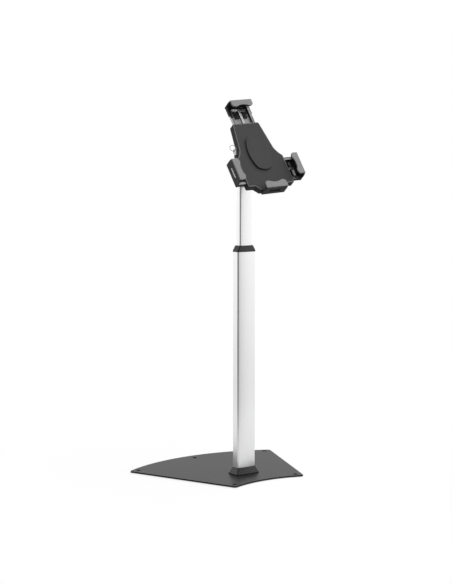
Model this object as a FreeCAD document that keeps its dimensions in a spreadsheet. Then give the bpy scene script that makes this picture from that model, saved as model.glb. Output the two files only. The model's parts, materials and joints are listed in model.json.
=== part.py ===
import FreeCAD, Part
import math
import os
import re

import Sketcher
from FreeCAD import Placement, Rotation, Vector

# Tablet floor stand with a telescopic column and a lockable tablet holder, in millimetres.
# The origin is on the column's axis at floor level. +Z is up and the front looks along -Y.

# Driving dimensions, each with what it measures
SIZES = (
    # Base plate
    ("plate_thickness", 4.0, "steel base plate"),
    ("pad_thickness", 1.5, "rubber foot pads under the plate"),
    ("pad_diameter", 18.0, "rubber foot pads"),
    ("front_half_width", 106.0, "centre to a front corner"),
    ("front_corner_reach", 110.0, "column axis to the front corners"),
    ("front_hollow", 21.0, "how far the front edge curves in"),
    ("rear_half_width", 225.0, "centre to a rear corner"),
    ("rear_corner_reach", 184.0, "column axis to the rear corners"),
    ("rear_crown", 61.0, "how far the rear edge curves out"),
    ("plate_corner_radius", 7.0, "rounding of the plate's corners"),
    ("front_bolt_side", 11.0, "front floor bolts in from the corners, sideways"),
    ("front_bolt_back", 20.3, "front floor bolts behind the front corners"),
    ("rear_bolt_side", 22.5, "rear floor bolts in from the corners, sideways"),
    ("rear_bolt_ahead", 5.4, "rear floor bolts ahead of the rear corners"),
    ("middle_bolt_ahead", 25.8, "middle floor bolt ahead of the rear edge"),
    ("floor_bolt_hole", 7.0, "floor bolt holes"),
    ("floor_bolt_sink", 13.0, "countersinks of the floor bolt holes"),
    ("pad_aside", 16.0, "foot pads in from the corner bolts, sideways"),
    ("pad_inward", 12.0, "foot pads in from the corner bolts, front to back"),
    ("middle_pad_inward", 20.0, "rear middle foot pad ahead of its bolt"),
    # Column
    ("lower_width", 55.0, "lower column, left to right"),
    ("lower_depth", 26.0, "lower column, front to back over the bowed faces"),
    ("lower_bow", 2.0, "bow of the lower column's wide faces"),
    ("lower_radius", 3.5, "corner radius of the lower column"),
    ("lower_wall", 2.0, "wall of the lower column"),
    ("lower_length", 561.0, "lower column"),
    ("upper_width", 38.0, "upper column, left to right"),
    ("upper_depth", 19.5, "upper column, front to back over the bowed faces"),
    ("upper_bow", 1.2, "bow of the upper column's wide faces"),
    ("upper_radius", 3.0, "corner radius of the upper column"),
    ("upper_wall", 1.8, "wall of the upper column"),
    ("upper_length", 480.0, "upper column"),
    ("upper_rise", 161.0, "upper column above the lower one as photographed"),
    ("slide_gap", 0.3, "running gap of the telescopic column"),
    ("seat_gap", 0.1, "gap of parts that are pushed into a tube"),
    ("base_collar_height", 17.0, "collar at the foot of the column"),
    ("base_collar_band", 1.6, "upright foot of the base collar"),
    ("base_collar_flare", 8.0, "how far the base collar spreads at its foot"),
    ("collar_rim", 1.0, "upper rim of the base collar around the tube"),
    ("top_collar_height", 16.0, "collar at the top of the lower column"),
    ("top_collar_band", 3.6, "upright foot of the top collar"),
    ("top_collar_brim", 0.5, "top collar proud of the lower column"),
    ("top_collar_rim", 2.0, "upper rim of the top collar around the upper column"),
    ("sleeve_length", 56.0, "guide sleeve of the top collar inside the tube"),
    ("guide_height", 12.0, "guide shoe below the upper column"),
    ("guide_plug", 20.0, "plug of the guide shoe inside the upper column"),
    ("insert_height", 40.0, "block inside the foot of the lower column"),
    ("insert_bolt_spacing", 30.0, "bolts that hold the column on the plate"),
    ("column_bolt", 8.0, "bolts that hold the column on the plate"),
    ("column_bolt_head", 14.5, "their countersunk heads"),
    ("column_bolt_length", 26.0, "their length"),
    ("head_clearance", 0.1, "gap between a countersunk head and its seat"),
    ("insert_screw", 5.0, "set screws through the tube into the block"),
    ("insert_screw_rise", 8.5, "set screws above the base plate"),
    ("thread_gap", 0.05, "gap round a screw in its thread or bore"),
    # Height clamp at the back
    ("clamp_drop", 28.0, "clamp screw below the top of the lower column"),
    ("clamp_boss_diameter", 16.0, "threaded boss on the back of the column"),
    ("clamp_boss_length", 5.0, "threaded boss outside the tube"),
    ("clamp_spigot", 12.0, "boss where it passes the tube wall"),
    ("clamp_stud_diameter", 6.0, "clamp stud"),
    ("pressure_pad_length", 0.8, "brass pad on the stud's tip"),
    ("knob_diameter", 24.0, "clamp knob over its lobes"),
    ("knob_length", 10.0, "clamp knob"),
    ("knob_flute", 7.0, "hollows round the knob"),
    ("knob_neck", 3.0, "round neck of the knob before its lobes"),
    ("knob_flute_place", 13.05, "centre of the hollows from the knob's axis"),
    ("knob_bevel", 2.0, "bevel round the knob's end"),
    ("knob_bore", 7.0, "depth of the stud in the knob"),
    ("knob_gap", 0.5, "knob behind its boss"),
    # Head
    ("neck_plug", 30.0, "neck casting inside the upper column"),
    ("neck_taper", 12.0, "height of the neck's sloping part"),
    ("neck_top_width", 22.0, "neck above its sloping part"),
    ("neck_top_depth", 18.0, "neck above its sloping part, front to back"),
    ("neck_post", 8.0, "round post on the neck"),
    ("neck_post_diameter", 20.0, "round post on the neck"),
    ("neck_screw", 4.0, "set screws that hold the neck in the tube"),
    ("neck_screw_spacing", 16.0, "one above the other"),
    ("swivel_disc_thickness", 1.0, "nylon disc under the fork"),
    ("fork_diameter", 27.0, "swivel fork"),
    ("fork_base", 6.0, "floor of the fork"),
    ("fork_slot", 15.2, "slot between the fork's ears"),
    ("fork_corner", 2.0, "upright corners of the fork's floor"),
    ("ear_radius", 11.0, "round ends of the fork's ears"),
    ("pivot_rise", 46.0, "tilt pin above the upper column"),
    ("hinge_bolt", 8.0, "swivel, tilt and hub bolts"),
    ("hinge_gap", 0.1, "gap of a turning part round its bolt"),
    ("hinge_head", 13.0, "heads of the swivel and tilt bolts"),
    ("hinge_head_height", 4.5, "heads of the swivel and tilt bolts"),
    ("hinge_socket", 4.0, "corner radius of their hexagon sockets"),
    ("socket_depth", 2.7, "depth of their hexagon sockets"),
    ("washer_thickness", 1.2, "steel washers"),
    ("washer_diameter", 14.8, "steel washer under the swivel bolt"),
    ("swivel_bore_depth", 22.0, "bore of the swivel bolt in the neck"),
    ("bore_spare", 1.0, "bores deeper than their bolts"),
    ("tilt_washer_thickness", 0.8, "friction washers beside the tongue"),
    ("tilt_washer_diameter", 20.0, "friction washers beside the tongue"),
    ("tongue_width", 13.2, "tongue of the tilt arm"),
    ("tongue_radius", 10.5, "round end of the tongue"),
    ("nut_height", 6.0, "tilt nut"),
    ("bolt_overhang", 1.0, "tilt bolt past its nut"),
    ("arm_flare_length", 14.0, "spreading end of the tilt arm"),
    ("arm_flare_inset", 6.0, "spreading end short of the disc's rim"),
    ("arm_disc_diameter", 46.0, "disc of the tilt arm"),
    ("arm_disc_thickness", 5.0, "disc of the tilt arm"),
    ("friction_disc_thickness", 1.0, "nylon disc between tilt arm and hub"),
    ("friction_disc_diameter", 44.0, "nylon disc between tilt arm and hub"),
    ("hub_diameter", 50.0, "hub plate on the rear cover"),
    ("hub_thickness", 6.0, "hub plate on the rear cover"),
    ("hub_head", 14.5, "head of the hub bolt"),
    ("hub_head_height", 3.2, "head of the hub bolt"),
    ("hub_head_room", 0.4, "room round the head of the hub bolt"),
    ("hub_bolt_depth", 18.0, "hub bolt in the tilt arm"),
    ("hub_screw_circle", 38.0, "circle of the hub screws"),
    ("hub_screw", 4.0, "hub screws"),
    ("hub_screw_head", 7.2, "their heads"),
    ("hub_screw_head_height", 1.4, "their heads"),
    ("face_reach", 81.0, "tilt pin to the holder's face"),
    ("swivel_angle", -8.8, "head turned on the column as photographed"),
    ("tilt_angle", 34.4, "face tipped back from upright as photographed"),
    ("roll_angle", 5.8, "holder turned on its hub as photographed"),
    # Holder body
    ("body_thickness", 20.0, "both covers together"),
    ("front_cover_depth", 10.0, "front cover"),
    ("cover_wall", 2.5, "walls of both covers"),
    ("rear_wall", 3.5, "side walls of the rear cover"),
    ("edge_bevel", 1.5, "bevel round the face"),
    ("rear_bevel", 3.0, "bevel round the back"),
    ("top_edge", 80.0, "hub centre to the top edge"),
    ("top_half_width", 37.5, "half width at the top"),
    ("waist_height", 4.0, "hub centre to where the sides turn out"),
    ("waist_half_width", 49.0, "half width where the sides turn out"),
    ("shoulder_drop", 21.0, "hub centre down to the shoulders"),
    ("shoulder_half_width", 65.5, "half width at the shoulders"),
    ("foot_half_width", 66.0, "half width at the lower corners"),
    ("foot_drop", 101.0, "hub centre down to the lower corners"),
    ("chin_drop", 113.0, "hub centre down to the chin behind the bottom claw"),
    ("chin_half_width", 35.0, "half width of the chin"),
    ("chin_run", 12.0, "sideways run of the slope beside the chin"),
    ("shoulder_hollow", 1.5, "how far the slope above the shoulders curves in"),
    ("body_corner_radius", 4.0, "corner rounding of the covers"),
    ("boss_height", 4.5, "raised oval on the face"),
    ("boss_half_width", 29.5, "raised oval"),
    ("boss_top", 40.0, "hub centre to the top of the oval"),
    ("boss_bottom", 59.0, "hub centre down to the end of the oval"),
    ("boss_middle", 14.0, "hub centre down to the oval's widest point"),
    ("boss_shoulder_half_width", 25.2, "half width of the oval where its top arc starts"),
    ("boss_shoulder_drop", 22.0, "top of the oval down to where its top arc starts"),
    ("boss_heel_half_width", 20.0, "half width of the oval where its lower arc starts"),
    ("boss_heel_rise", 7.5, "end of the oval up to where its lower arc starts"),
    ("boss_edge_radius", 1.2, "rounded rim of the oval"),
    # Arms and claws
    ("top_reach", 136.5, "hub centre to the outside of the top claw"),
    ("side_reach", 93.0, "centre line to the outside of a side claw"),
    ("bottom_reach", 119.8, "hub centre to the outside of the bottom claw"),
    ("side_drop", 59.6, "hub centre down to the side arms"),
    ("arm_half_width", 30.5, "half width of the arm channels"),
    ("channel_floor", 10.8, "face to the underside of the channels"),
    ("channel_top", 3.5, "face to the top of the channels"),
    ("sheet_wall", 1.2, "sheet steel of the channels"),
    ("channel_lip", 6.0, "lips turned in along the channels"),
    ("top_channel_start", 21.0, "hub centre to the inner end of the top channel"),
    ("side_channel_start", 25.0, "centre line to the inner ends of the side channels"),
    ("arm_gap", 0.3, "running gap of the arms in the covers"),
    ("rod_diameter", 6.0, "bright guide rods"),
    ("rod_depth", 6.5, "face to the rods' centre"),
    ("top_rod_start", 42.0, "hub centre to the inner end of the top rod"),
    ("side_rod_start", 31.0, "centre line to the inner ends of the side rods"),
    ("claw_half_width", 32.2, "half width of the claws"),
    ("claw_wall", 3.5, "outer wall of the claws"),
    ("claw_overlap", 1.0, "cheeks and feet run into the claw walls"),
    ("claw_foot", 11.5, "face to the lower end of the claw walls"),
    ("claw_shoulder", 7.0, "sloping shoulders of the claw walls"),
    ("lip_top", 20.0, "face to the top of the claw lips"),
    ("lip_core", 3.0, "plastic core of the lips"),
    ("pad_cover", 3.0, "grey rubber on the lips"),
    ("lip_half_width", 30.0, "half width of the lips"),
    ("lip_depth", 19.0, "lips at their two lobes"),
    ("lip_scallop", 4.5, "hollow between the lobes"),
    ("lip_core_inset", 1.0, "plastic core inside the rubber's outline"),
    ("lobe_place", 22.0, "lobes from the claw's middle"),
    ("lobe_run", 8.0, "inner end of a lobe's arc from its tip"),
    ("lobe_heel", 5.0, "outer ends of the lobes back from their tips"),
    ("lobe_toe", 1.6, "inner ends of the lobes back from their tips"),
    ("slot_half_width", 15.0, "slot through the claw's wall"),
    ("slot_bottom", -1.5, "lower edge of the slot above the face"),
    ("slot_top", 5.5, "upper edge of the slot above the face"),
    ("tongue_margin", 3.0, "steel tongue past the slot on each side"),
    ("cheek_depth", 28.0, "cheeks of the moving claws, outside the channels"),
    ("bottom_cheek_depth", 23.0, "cheeks of the bottom claw"),
    ("cheek_wall", 1.5, "cheeks at the ends of a claw"),
    ("foot_bar", 7.0, "claw foot next to the wall"),
    ("foot_window", 8.0, "window through the claw foot"),
    ("window_half_width", 23.0, "half width of that window"),
    ("foot_cross", 5.0, "cross bar of the claw foot"),
    ("finger_length", 14.0, "fingers of the claw foot"),
    ("finger_inner", 6.0, "fingers from the middle, inside"),
    ("finger_outer", 17.0, "fingers from the middle, outside"),
    ("foot_half_inside", 28.5, "half width of the claw foot in the channel"),
    ("foot_face", 6.4, "face down to the claw foot"),
    ("guide_length", 10.0, "rod guides"),
    ("guide_width", 9.0, "rod guides"),
    ("top_guide_place", 55.0, "hub centre to the rod guide of the top arm"),
    ("side_guide_place", 41.5, "centre line to the rod guides of the side arms"),
    # Rack and pinion that joins the side arms
    ("tooth_module", 1.0, "rack and pinion"),
    ("pinion_teeth", 12.0, "pinion"),
    ("rack_teeth", 12.0, "teeth on each rack"),
    ("rack_length", 46.5, "racks"),
    ("rack_back", 4.5, "rack from its pitch line to its back"),
    ("teeth_inward", 2.5, "rack teeth before the one level with the pinion's axis"),
    ("tooth_share", 0.36, "tooth thickness as a share of the pitch"),
    ("root_share", 0.12, "how much wider a tooth is at its root, as a share of the pitch"),
    ("tip_share", 0.06, "how much narrower a tooth is at its tip, as a share of the pitch"),
    ("tooth_overlap", 1.0, "pinion teeth run into the hub of the gear"),
    ("gear_bottom", 9.3, "face to the underside of the gears"),
    ("gear_thickness", 3.0, "rack and pinion"),
    ("rack_foot", 12.0, "foot that carries a rack on its channel"),
    ("axle_diameter", 4.0, "pinion axle"),
    ("axle_flange", 8.0, "flange under the pinion axle"),
    ("axle_overhang", 1.0, "axle past the gear"),
    # Lock
    ("lock_place", 57.5, "centre line to the lock's axis"),
    ("lock_depth", 9.0, "face to the lock's axis"),
    ("lock_front", 5.0, "hub centre down to the lock's front"),
    ("lock_length", 19.0, "lock barrel"),
    ("barrel_diameter", 12.0, "lock barrel"),
    ("core_diameter", 8.0, "lock core"),
    ("core_recess", 0.3, "core behind the barrel's front"),
    ("keyway_height", 5.6, "slot for the key"),
    ("keyway_depth", 13.3, "slot for the key"),
    ("cam_diameter", 8.0, "lock cam"),
    ("cam_thickness", 1.2, "lock cam"),
    ("cam_throw", 1.27, "cam pin from the lock's axis"),
    ("cam_pin", 3.0, "cam pin"),
    ("cam_pin_length", 1.8, "cam pin past the cam"),
    ("plate_sheet", 1.4, "lock plate"),
    ("plate_floor", 16.6, "face to the underside of the lock plate"),
    ("plate_width", 6.0, "lock plate's bar"),
    ("plate_margin", 3.5, "lock plate past its pegs"),
    ("tab_left", 3.2, "upturned tab beyond the lock's axis"),
    ("tab_right", 5.0, "upturned tab towards the bar"),
    ("tab_margin", 1.4, "tab beside its slot"),
    ("tab_gap", 0.3, "tab behind the cam"),
    ("tab_root", 4.0, "bar ahead of the tab's front"),
    ("pin_ahead", 16.0, "upper lock pin down from the top peg"),
    ("pin_aside", 6.0, "lock pins beside the pegs and behind the barrel"),
    ("pin_gap", 0.5, "lock pins below the channels"),
    ("peg_diameter", 4.0, "pegs of the lock plate"),
    ("peg_gap", 0.2, "pegs below the channels when unlocked"),
    ("peg_room", 0.6, "peg holes wider than the pegs"),
    ("peg_pitch", 5.5, "holes in the channels"),
    ("top_peg_x", 20.0, "top arm's peg from the centre line"),
    ("top_peg_y", 33.0, "top arm's peg from the hub centre"),
    ("left_peg_x", 38.0, "left arm's peg from the centre line"),
    ("left_peg_y", 45.0, "left arm's peg down from the hub centre"),
    ("key_blade", 2.0, "thickness of the key"),
    ("key_blade_width", 4.8, "width of the key's blade"),
    ("key_depth", 11.4, "key in the lock"),
    ("key_neck", 3.0, "key's neck in front of the lock"),
    ("key_shoulder", 2.0, "slope between the key's neck and bow"),
    ("key_bow", 12.0, "width of the key's bow"),
    ("key_bow_length", 14.0, "length of the key's bow"),
    ("key_crown", 4.0, "rounding of the key's bow"),
    ("key_hole", 4.4, "hole in the key's bow"),
    ("ring_diameter", 19.0, "key ring outside"),
    ("ring_wire", 1.3, "wire of the key ring"),
    ("cover_screw", 3.0, "screws of the rear cover"),
    ("cover_screw_head", 5.6, "their heads"),
    ("cover_head_height", 2.4, "their heads"),
    ("cover_screw_sink", 3.0, "depth of their seats in the rear cover"),
    ("cover_screw_spare", 1.0, "end of the cover screws under the face's wall"),
    ("screw_boss", 6.6, "bosses of the cover screws"),
    ("upper_screw_inset", 8.0, "upper cover screws in from the waist"),
    ("upper_screw_rise", 4.0, "upper cover screws above the waist"),
    ("lower_screw_inset", 20.0, "lower cover screws in from the corners"),
    ("lower_screw_rise", 4.4, "lower cover screws above the foot"),
    ("rail_width", 8.0, "rails of the rear cover under the top channel"),
    ("rail_aside", 6.0, "top rail from the centre line"),
    ("rail_start", 32.0, "top rail from the hub centre"),
    ("rail_end", 70.0, "top rail from the hub centre"),
    ("side_rail_width", 6.0, "rails under the side channels"),
    ("side_rail_inset", 8.0, "side rails in from the channels' edges"),
    ("side_rail_start", 24.0, "side rails from the centre line"),
    ("side_rail_end", 58.0, "side rails from the centre line"),
)
NAMES = {alias for alias, start, note in SIZES}

doc = FreeCAD.newDocument("TabletFloorStand")
sheet = doc.addObject("Spreadsheet::Sheet", "Sizes")
for row, (alias, start, note) in enumerate(SIZES, start=1):
    sheet.set(f"A{row}", note)
    sheet.set(f"B{row}", str(start))
    sheet.setAlias(f"B{row}", alias)
doc.recompute()

parts = []


# Rules: text such as "lower_width / 2", bound to the sheet's cells

def bound(rule):
    """The rule with each size named by its cell in the sheet."""
    return re.sub(r"[a-z_]+", lambda word: "Sizes." + word[0] if word[0] in NAMES else word[0], rule)


def value(rule):
    """What the rule gives now, in millimetres or degrees."""
    return float(sheet.evalExpression(bound(rule)))


def bind(feature, prop, rule):
    feature.setExpression(prop, bound(rule))


# Bodies and their features

def new_body(name, placement=None):
    """An empty body that becomes one node."""
    body = doc.addObject("PartDesign::Body", name)
    body.Label = name
    body.AllowCompound = True
    if placement:
        body.Placement = placement
    parts.append(body)
    return body


def sketch_on(body, role="XY_Plane", offset="0"):
    """A sketch on one of the body's own planes, moved along the plane's normal."""
    sketch = body.newObject("Sketcher::SketchObject", body.Name + "_sketch")
    plane = next(item for item in body.Origin.OriginFeatures if item.Role == role)
    sketch.AttachmentSupport = [(plane, "")]
    sketch.MapMode = "FlatFace"
    bind(sketch, "AttachmentOffset.Base.z", offset)
    return sketch


def pin(sketch, item, end, across, up):
    """Holds a point of the sketch at a place given by two rules."""
    for kind, rule, axis in (("DistanceX", across, -2), ("DistanceY", up, -1)):
        if rule == "0":
            sketch.addConstraint(Sketcher.Constraint("PointOnObject", item, end, axis))
        else:
            number = sketch.addConstraint(Sketcher.Constraint(kind, -1, 1, item, end, value(rule)))
            bind(sketch, f"Constraints[{number}]", rule)


def outline(sketch, corners, through=None):
    """A closed outline. through gives, by stretch, a point that an arc passes."""
    through = through or {}
    points = [Vector(value(across), value(up), 0) for across, up in corners]
    ends = []
    for number, start in enumerate(points):
        stop = points[(number + 1) % len(points)]
        if number not in through:
            item = sketch.addGeometry(Part.LineSegment(start, stop), False)
            ends.append((item, 1, 2))
            continue
        across, up = through[number]
        middle = Vector(value(across), value(up), 0)
        if (middle - start).cross(stop - middle).z > 0:
            item = sketch.addGeometry(Part.Arc(start, middle, stop), False)
            ends.append((item, 1, 2))
        else:
            item = sketch.addGeometry(Part.Arc(stop, middle, start), False)
            ends.append((item, 2, 1))
    for number, (item, first, last) in enumerate(ends):
        after, after_first, after_last = ends[(number + 1) % len(ends)]
        sketch.addConstraint(Sketcher.Constraint("Coincident", item, last, after, after_first))
        pin(sketch, item, first, *corners[number])
    for number, (across, up) in through.items():
        dot = sketch.addGeometry(Part.Point(Vector(value(across), value(up), 0)), True)
        pin(sketch, dot, 1, across, up)
        sketch.addConstraint(Sketcher.Constraint("PointOnObject", dot, 1, ends[number][0]))


def rectangle(sketch, left, right, bottom, top):
    outline(sketch, ((left, bottom), (right, bottom), (right, top), (left, top)))


def circle(sketch, across, up, diameter):
    centre = Vector(value(across), value(up), 0)
    item = sketch.addGeometry(Part.Circle(centre, Vector(0, 0, 1), value(diameter) / 2), False)
    pin(sketch, item, 3, across, up)
    number = sketch.addConstraint(Sketcher.Constraint("Diameter", item, value(diameter)))
    bind(sketch, f"Constraints[{number}]", diameter)


def bowed(sketch, width, depth, bow, radius):
    """A rectangle with rounded corners whose front and back are bowed outwards."""
    side = f"({width}) / 2"
    face = f"({depth}) / 2"
    inner = f"({side} - ({radius}))"
    shoulder = f"({face} - ({bow}) * ({inner} / ({side})) ^ 2)"
    edge = f"({shoulder} - ({radius}))"
    slant = "(1 - sqrt(0.5))"
    corners = []
    through = {}
    for x_sign, y_sign, turning in (("-", "-", True), ("", "-", False), ("", "", True), ("-", "", False)):
        on_side = (f"{x_sign}{side}", f"{y_sign}{edge}")
        on_face = (f"{x_sign}{inner}", f"{y_sign}{shoulder}")
        across = f"{x_sign}({side} - ({radius}) * {slant})"
        up = f"{y_sign}({shoulder} - ({radius}) * {slant})"
        through[len(corners)] = (across, up)
        corners += [on_side, on_face] if turning else [on_face, on_side]
    through[1] = ("0", f"-({face})")
    through[5] = ("0", face)
    outline(sketch, corners, through)


def pad(body, sketch, length, back=False):
    feature = body.newObject("PartDesign::Pad", body.Name + "_pad")
    feature.Profile = sketch
    feature.Reversed = back
    feature.Refine = True
    bind(feature, "Length", length)
    doc.recompute()
    return feature


def pocket(body, sketch, length=None, back=False):
    """Cuts the sketch out of the body, right through where no length is given."""
    before = body.Shape.Volume
    feature = body.newObject("PartDesign::Pocket", body.Name + "_pocket")
    feature.Profile = sketch
    feature.Reversed = back
    feature.Refine = True
    if length:
        bind(feature, "Length", length)
    else:
        feature.Type = "ThroughAll"
        feature.SideType = "Symmetric"
    doc.recompute()
    if not body.Shape.Volume < before - 1e-6:
        raise RuntimeError(f"{body.Label}: {feature.Name} cuts nothing")
    return feature


def loft(body, first, second):
    feature = body.newObject("PartDesign::AdditiveLoft", body.Name + "_loft")
    feature.Profile = first
    feature.Sections = [second]
    feature.Ruled = True
    doc.recompute()
    return feature


def dress(body, kind, prop, test, amount):
    """A fillet or chamfer on the edges that the test picks by their middle and direction."""
    names = []
    for number, edge in enumerate(body.Shape.Edges, start=1):
        first, last = edge.Vertexes[0].Point, edge.Vertexes[-1].Point
        middle = edge.valueAt((edge.FirstParameter + edge.LastParameter) / 2)
        local = body.Placement.inverse()
        if test(edge, local.multVec(middle), local.Rotation.multVec(last - first)):
            names.append(f"Edge{number}")
    if not names:
        raise RuntimeError(f"{body.Label}: no edge for a {kind}")
    base = body.Tip
    feature = body.newObject(f"PartDesign::{kind}", f"{body.Name}_{kind.lower()}")
    feature.Base = (base, names)
    bind(feature, prop, amount)
    doc.recompute()
    return feature


def fillet(body, test, radius):
    return dress(body, "Fillet", "Radius", test, radius)


def chamfer(body, test, size):
    return dress(body, "Chamfer", "Size", test, size)


def upright(edge, middle, run):
    """True for a straight edge that mostly runs along Z."""
    return abs(edge.Length - run.Length) < 0.001 and abs(run.z) > 0.6 * run.Length


def turned(body, corners, through=None, role="XZ_Plane"):
    """Turns an outline round the body's vertical axis."""
    sketch = sketch_on(body, role)
    outline(sketch, corners, through)
    feature = body.newObject("PartDesign::Revolution", body.Name + "_turn")
    feature.Profile = sketch
    feature.ReferenceAxis = (sketch, ["V_Axis"])
    feature.Angle = 360
    doc.recompute()
    return feature


def copies(name, shape, places, placement=None):
    """Equal fasteners that share one node as separate solids."""
    group = doc.addObject("Part::Feature", name)
    group.Label = name
    group.Shape = Part.makeCompound([shape.transformed(place.toMatrix(), True) for place in places])
    if placement:
        group.Placement = placement
    parts.append(group)
    return group


def screw_shape(shank, head, head_height, length, countersunk=False):
    """A screw along -Z with the top of its head at the origin."""
    if countersunk:
        top = Part.makeCone(shank / 2, head / 2, head_height, Vector(0, 0, -head_height))
    else:
        top = Part.makeCylinder(head / 2, head_height, Vector(0, 0, -head_height))
    stem = Part.makeCylinder(shank / 2, length - head_height, Vector(0, 0, -length))
    depth = head_height * SOCKET_DEPTH_SHARE
    socket = Part.makeCylinder(shank * SOCKET_SHARE, depth, Vector(0, 0, -depth))
    return top.fuse(stem).cut(socket).removeSplitter()


def hexagon(sketch, corner_radius):
    corners = [
        (f"{corner_radius} * cos({60 * turn})", f"{corner_radius} * sin({60 * turn})") for turn in range(6)
    ]
    outline(sketch, corners)


# Sockets of the plain screws, as shares of the shank's diameter and the head's height

SOCKET_SHARE = 0.35
SET_SOCKET_SHARE = 0.25
SOCKET_DEPTH_SHARE = 0.6

# Places of the parts, worked out from the sizes

PLATE_TOP = "(pad_thickness + plate_thickness)"
LOWER_TOP = f"({PLATE_TOP} + lower_length)"
UPPER_TOP = f"({LOWER_TOP} + upper_rise)"
UPPER_BOTTOM = f"({UPPER_TOP} - upper_length)"
CLAMP_HEIGHT = f"({LOWER_TOP} - clamp_drop)"
FORK_FLOOR = "(neck_taper + neck_post + swivel_disc_thickness)"
INNER_LOWER = (
    "lower_width - 2 * lower_wall",
    "lower_depth - 2 * lower_wall",
    "lower_bow",
    "lower_radius - lower_wall",
)
INNER_UPPER = (
    "upper_width - 2 * upper_wall",
    "upper_depth - 2 * upper_wall",
    "upper_bow",
    "upper_radius - upper_wall",
)
FRONT_BOLT_X = "(front_half_width - front_bolt_side)"
FRONT_BOLT_Y = "(-front_corner_reach + front_bolt_back)"
REAR_BOLT_X = "(rear_half_width - rear_bolt_side)"
REAR_BOLT_Y = "(rear_corner_reach - rear_bolt_ahead)"
MIDDLE_BOLT_Y = "(rear_corner_reach + rear_crown - middle_bolt_ahead)"
FLOOR_BOLTS = (
    (FRONT_BOLT_X, FRONT_BOLT_Y),
    (f"-{FRONT_BOLT_X}", FRONT_BOLT_Y),
    (REAR_BOLT_X, REAR_BOLT_Y),
    (f"-{REAR_BOLT_X}", REAR_BOLT_Y),
    ("0", MIDDLE_BOLT_Y),
)
FOOT_PADS = (
    (f"{FRONT_BOLT_X} - pad_aside", f"{FRONT_BOLT_Y} + pad_inward"),
    (f"pad_aside - {FRONT_BOLT_X}", f"{FRONT_BOLT_Y} + pad_inward"),
    (f"{REAR_BOLT_X} - pad_aside", f"{REAR_BOLT_Y} - pad_inward"),
    (f"pad_aside - {REAR_BOLT_X}", f"{REAR_BOLT_Y} - pad_inward"),
    ("0", f"{MIDDLE_BOLT_Y} - middle_pad_inward"),
)


def at(across="0", along="0", up="0", rotation=None):
    return Placement(Vector(value(across), value(along), value(up)), rotation or Rotation())


def upward(height):
    return at(up=height)


PIVOT_HEIGHT = f"({UPPER_TOP} + pivot_rise)"
SWIVEL = Rotation(Vector(0, 0, 1), value("swivel_angle"))
LEAN = Rotation(Vector(1, 0, 0), 90 - value("tilt_angle"))
ROLL = Rotation(Vector(0, 0, 1), value("roll_angle"))
FORK_FRAME = Placement(Vector(0, 0, value(PIVOT_HEIGHT)), SWIVEL)
TILT_FRAME = FORK_FRAME * Placement(Vector(), LEAN)
HOLDER_FRAME = TILT_FRAME * at(up="face_reach") * Placement(Vector(), ROLL)
TOP_FRAME = HOLDER_FRAME
RIGHT_FRAME = HOLDER_FRAME * at(along="-side_drop", rotation=Rotation(Vector(0, 0, 1), -90))
LEFT_FRAME = HOLDER_FRAME * at(along="-side_drop", rotation=Rotation(Vector(0, 0, 1), 90))
BOTTOM_FRAME = HOLDER_FRAME * at(rotation=Rotation(Vector(0, 0, 1), 180))


# Base

def base_plate():
    body = new_body("base_plate")
    sketch = sketch_on(body, offset="pad_thickness")
    corners = (
        ("-front_half_width", "-front_corner_reach"),
        ("front_half_width", "-front_corner_reach"),
        ("rear_half_width", "rear_corner_reach"),
        ("-rear_half_width", "rear_corner_reach"),
    )
    arcs = {
        0: ("0", "-front_corner_reach + front_hollow"),
        2: ("0", "rear_corner_reach + rear_crown"),
    }
    outline(sketch, corners, arcs)
    pad(body, sketch, "plate_thickness")
    fillet(body, upright, "plate_corner_radius")
    holes = sketch_on(body, offset=PLATE_TOP)
    for across, along in FLOOR_BOLTS:
        circle(holes, across, along, "floor_bolt_hole")
    for side in ("-", ""):
        circle(holes, f"{side}insert_bolt_spacing / 2", "0", "column_bolt + 2 * thread_gap")
    pocket(body, holes)
    top = value(PLATE_TOP)
    under = value("pad_thickness")
    near = value("insert_bolt_spacing")

    def floor_bolt_rim(edge, middle, run):
        round_edge = edge.Curve.TypeId == "Part::GeomCircle" and edge.isClosed()
        return round_edge and abs(middle.z - top) < 0.01 and Vector(middle.x, middle.y, 0).Length > near

    def column_bolt_rim(edge, middle, run):
        round_edge = edge.Curve.TypeId == "Part::GeomCircle" and edge.isClosed()
        return round_edge and abs(middle.z - under) < 0.01 and Vector(middle.x, middle.y, 0).Length < near

    chamfer(body, floor_bolt_rim, "(floor_bolt_sink - floor_bolt_hole) / 2")
    chamfer(body, column_bolt_rim, "(column_bolt_head - column_bolt) / 2 + head_clearance")


def foot_pads():
    body = new_body("foot_pads")
    sketch = sketch_on(body)
    for across, along in FOOT_PADS:
        circle(sketch, across, along, "pad_diameter")
    pad(body, sketch, "pad_thickness")


def flared(body, height, band, foot, rim):
    """A collar that stands on an upright band and slopes in to its rim."""
    bottom, top = height
    lower = sketch_on(body, offset=bottom)
    bowed(lower, *foot)
    pad(body, lower, band)
    start = sketch_on(body, offset=f"{bottom} + {band}")
    bowed(start, *foot)
    end = sketch_on(body, offset=top)
    bowed(end, *rim)
    loft(body, start, end)


def grown(width, depth, amount, bow, radius):
    """A tube's outline with the same amount added on every side."""
    return f"{width} + 2 * {amount}", f"{depth} + 2 * {amount}", bow, radius


def lower_grown(amount):
    return grown("lower_width", "lower_depth", amount, "lower_bow", "lower_radius")


def upper_grown(amount):
    return grown("upper_width", "upper_depth", amount, "upper_bow", "upper_radius")


def shrunk(inside, gap):
    """What fits into a tube with a gap all round."""
    width, depth, bow, radius = inside
    return f"{width} - 2 * {gap}", f"{depth} - 2 * {gap}", bow, radius


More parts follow.
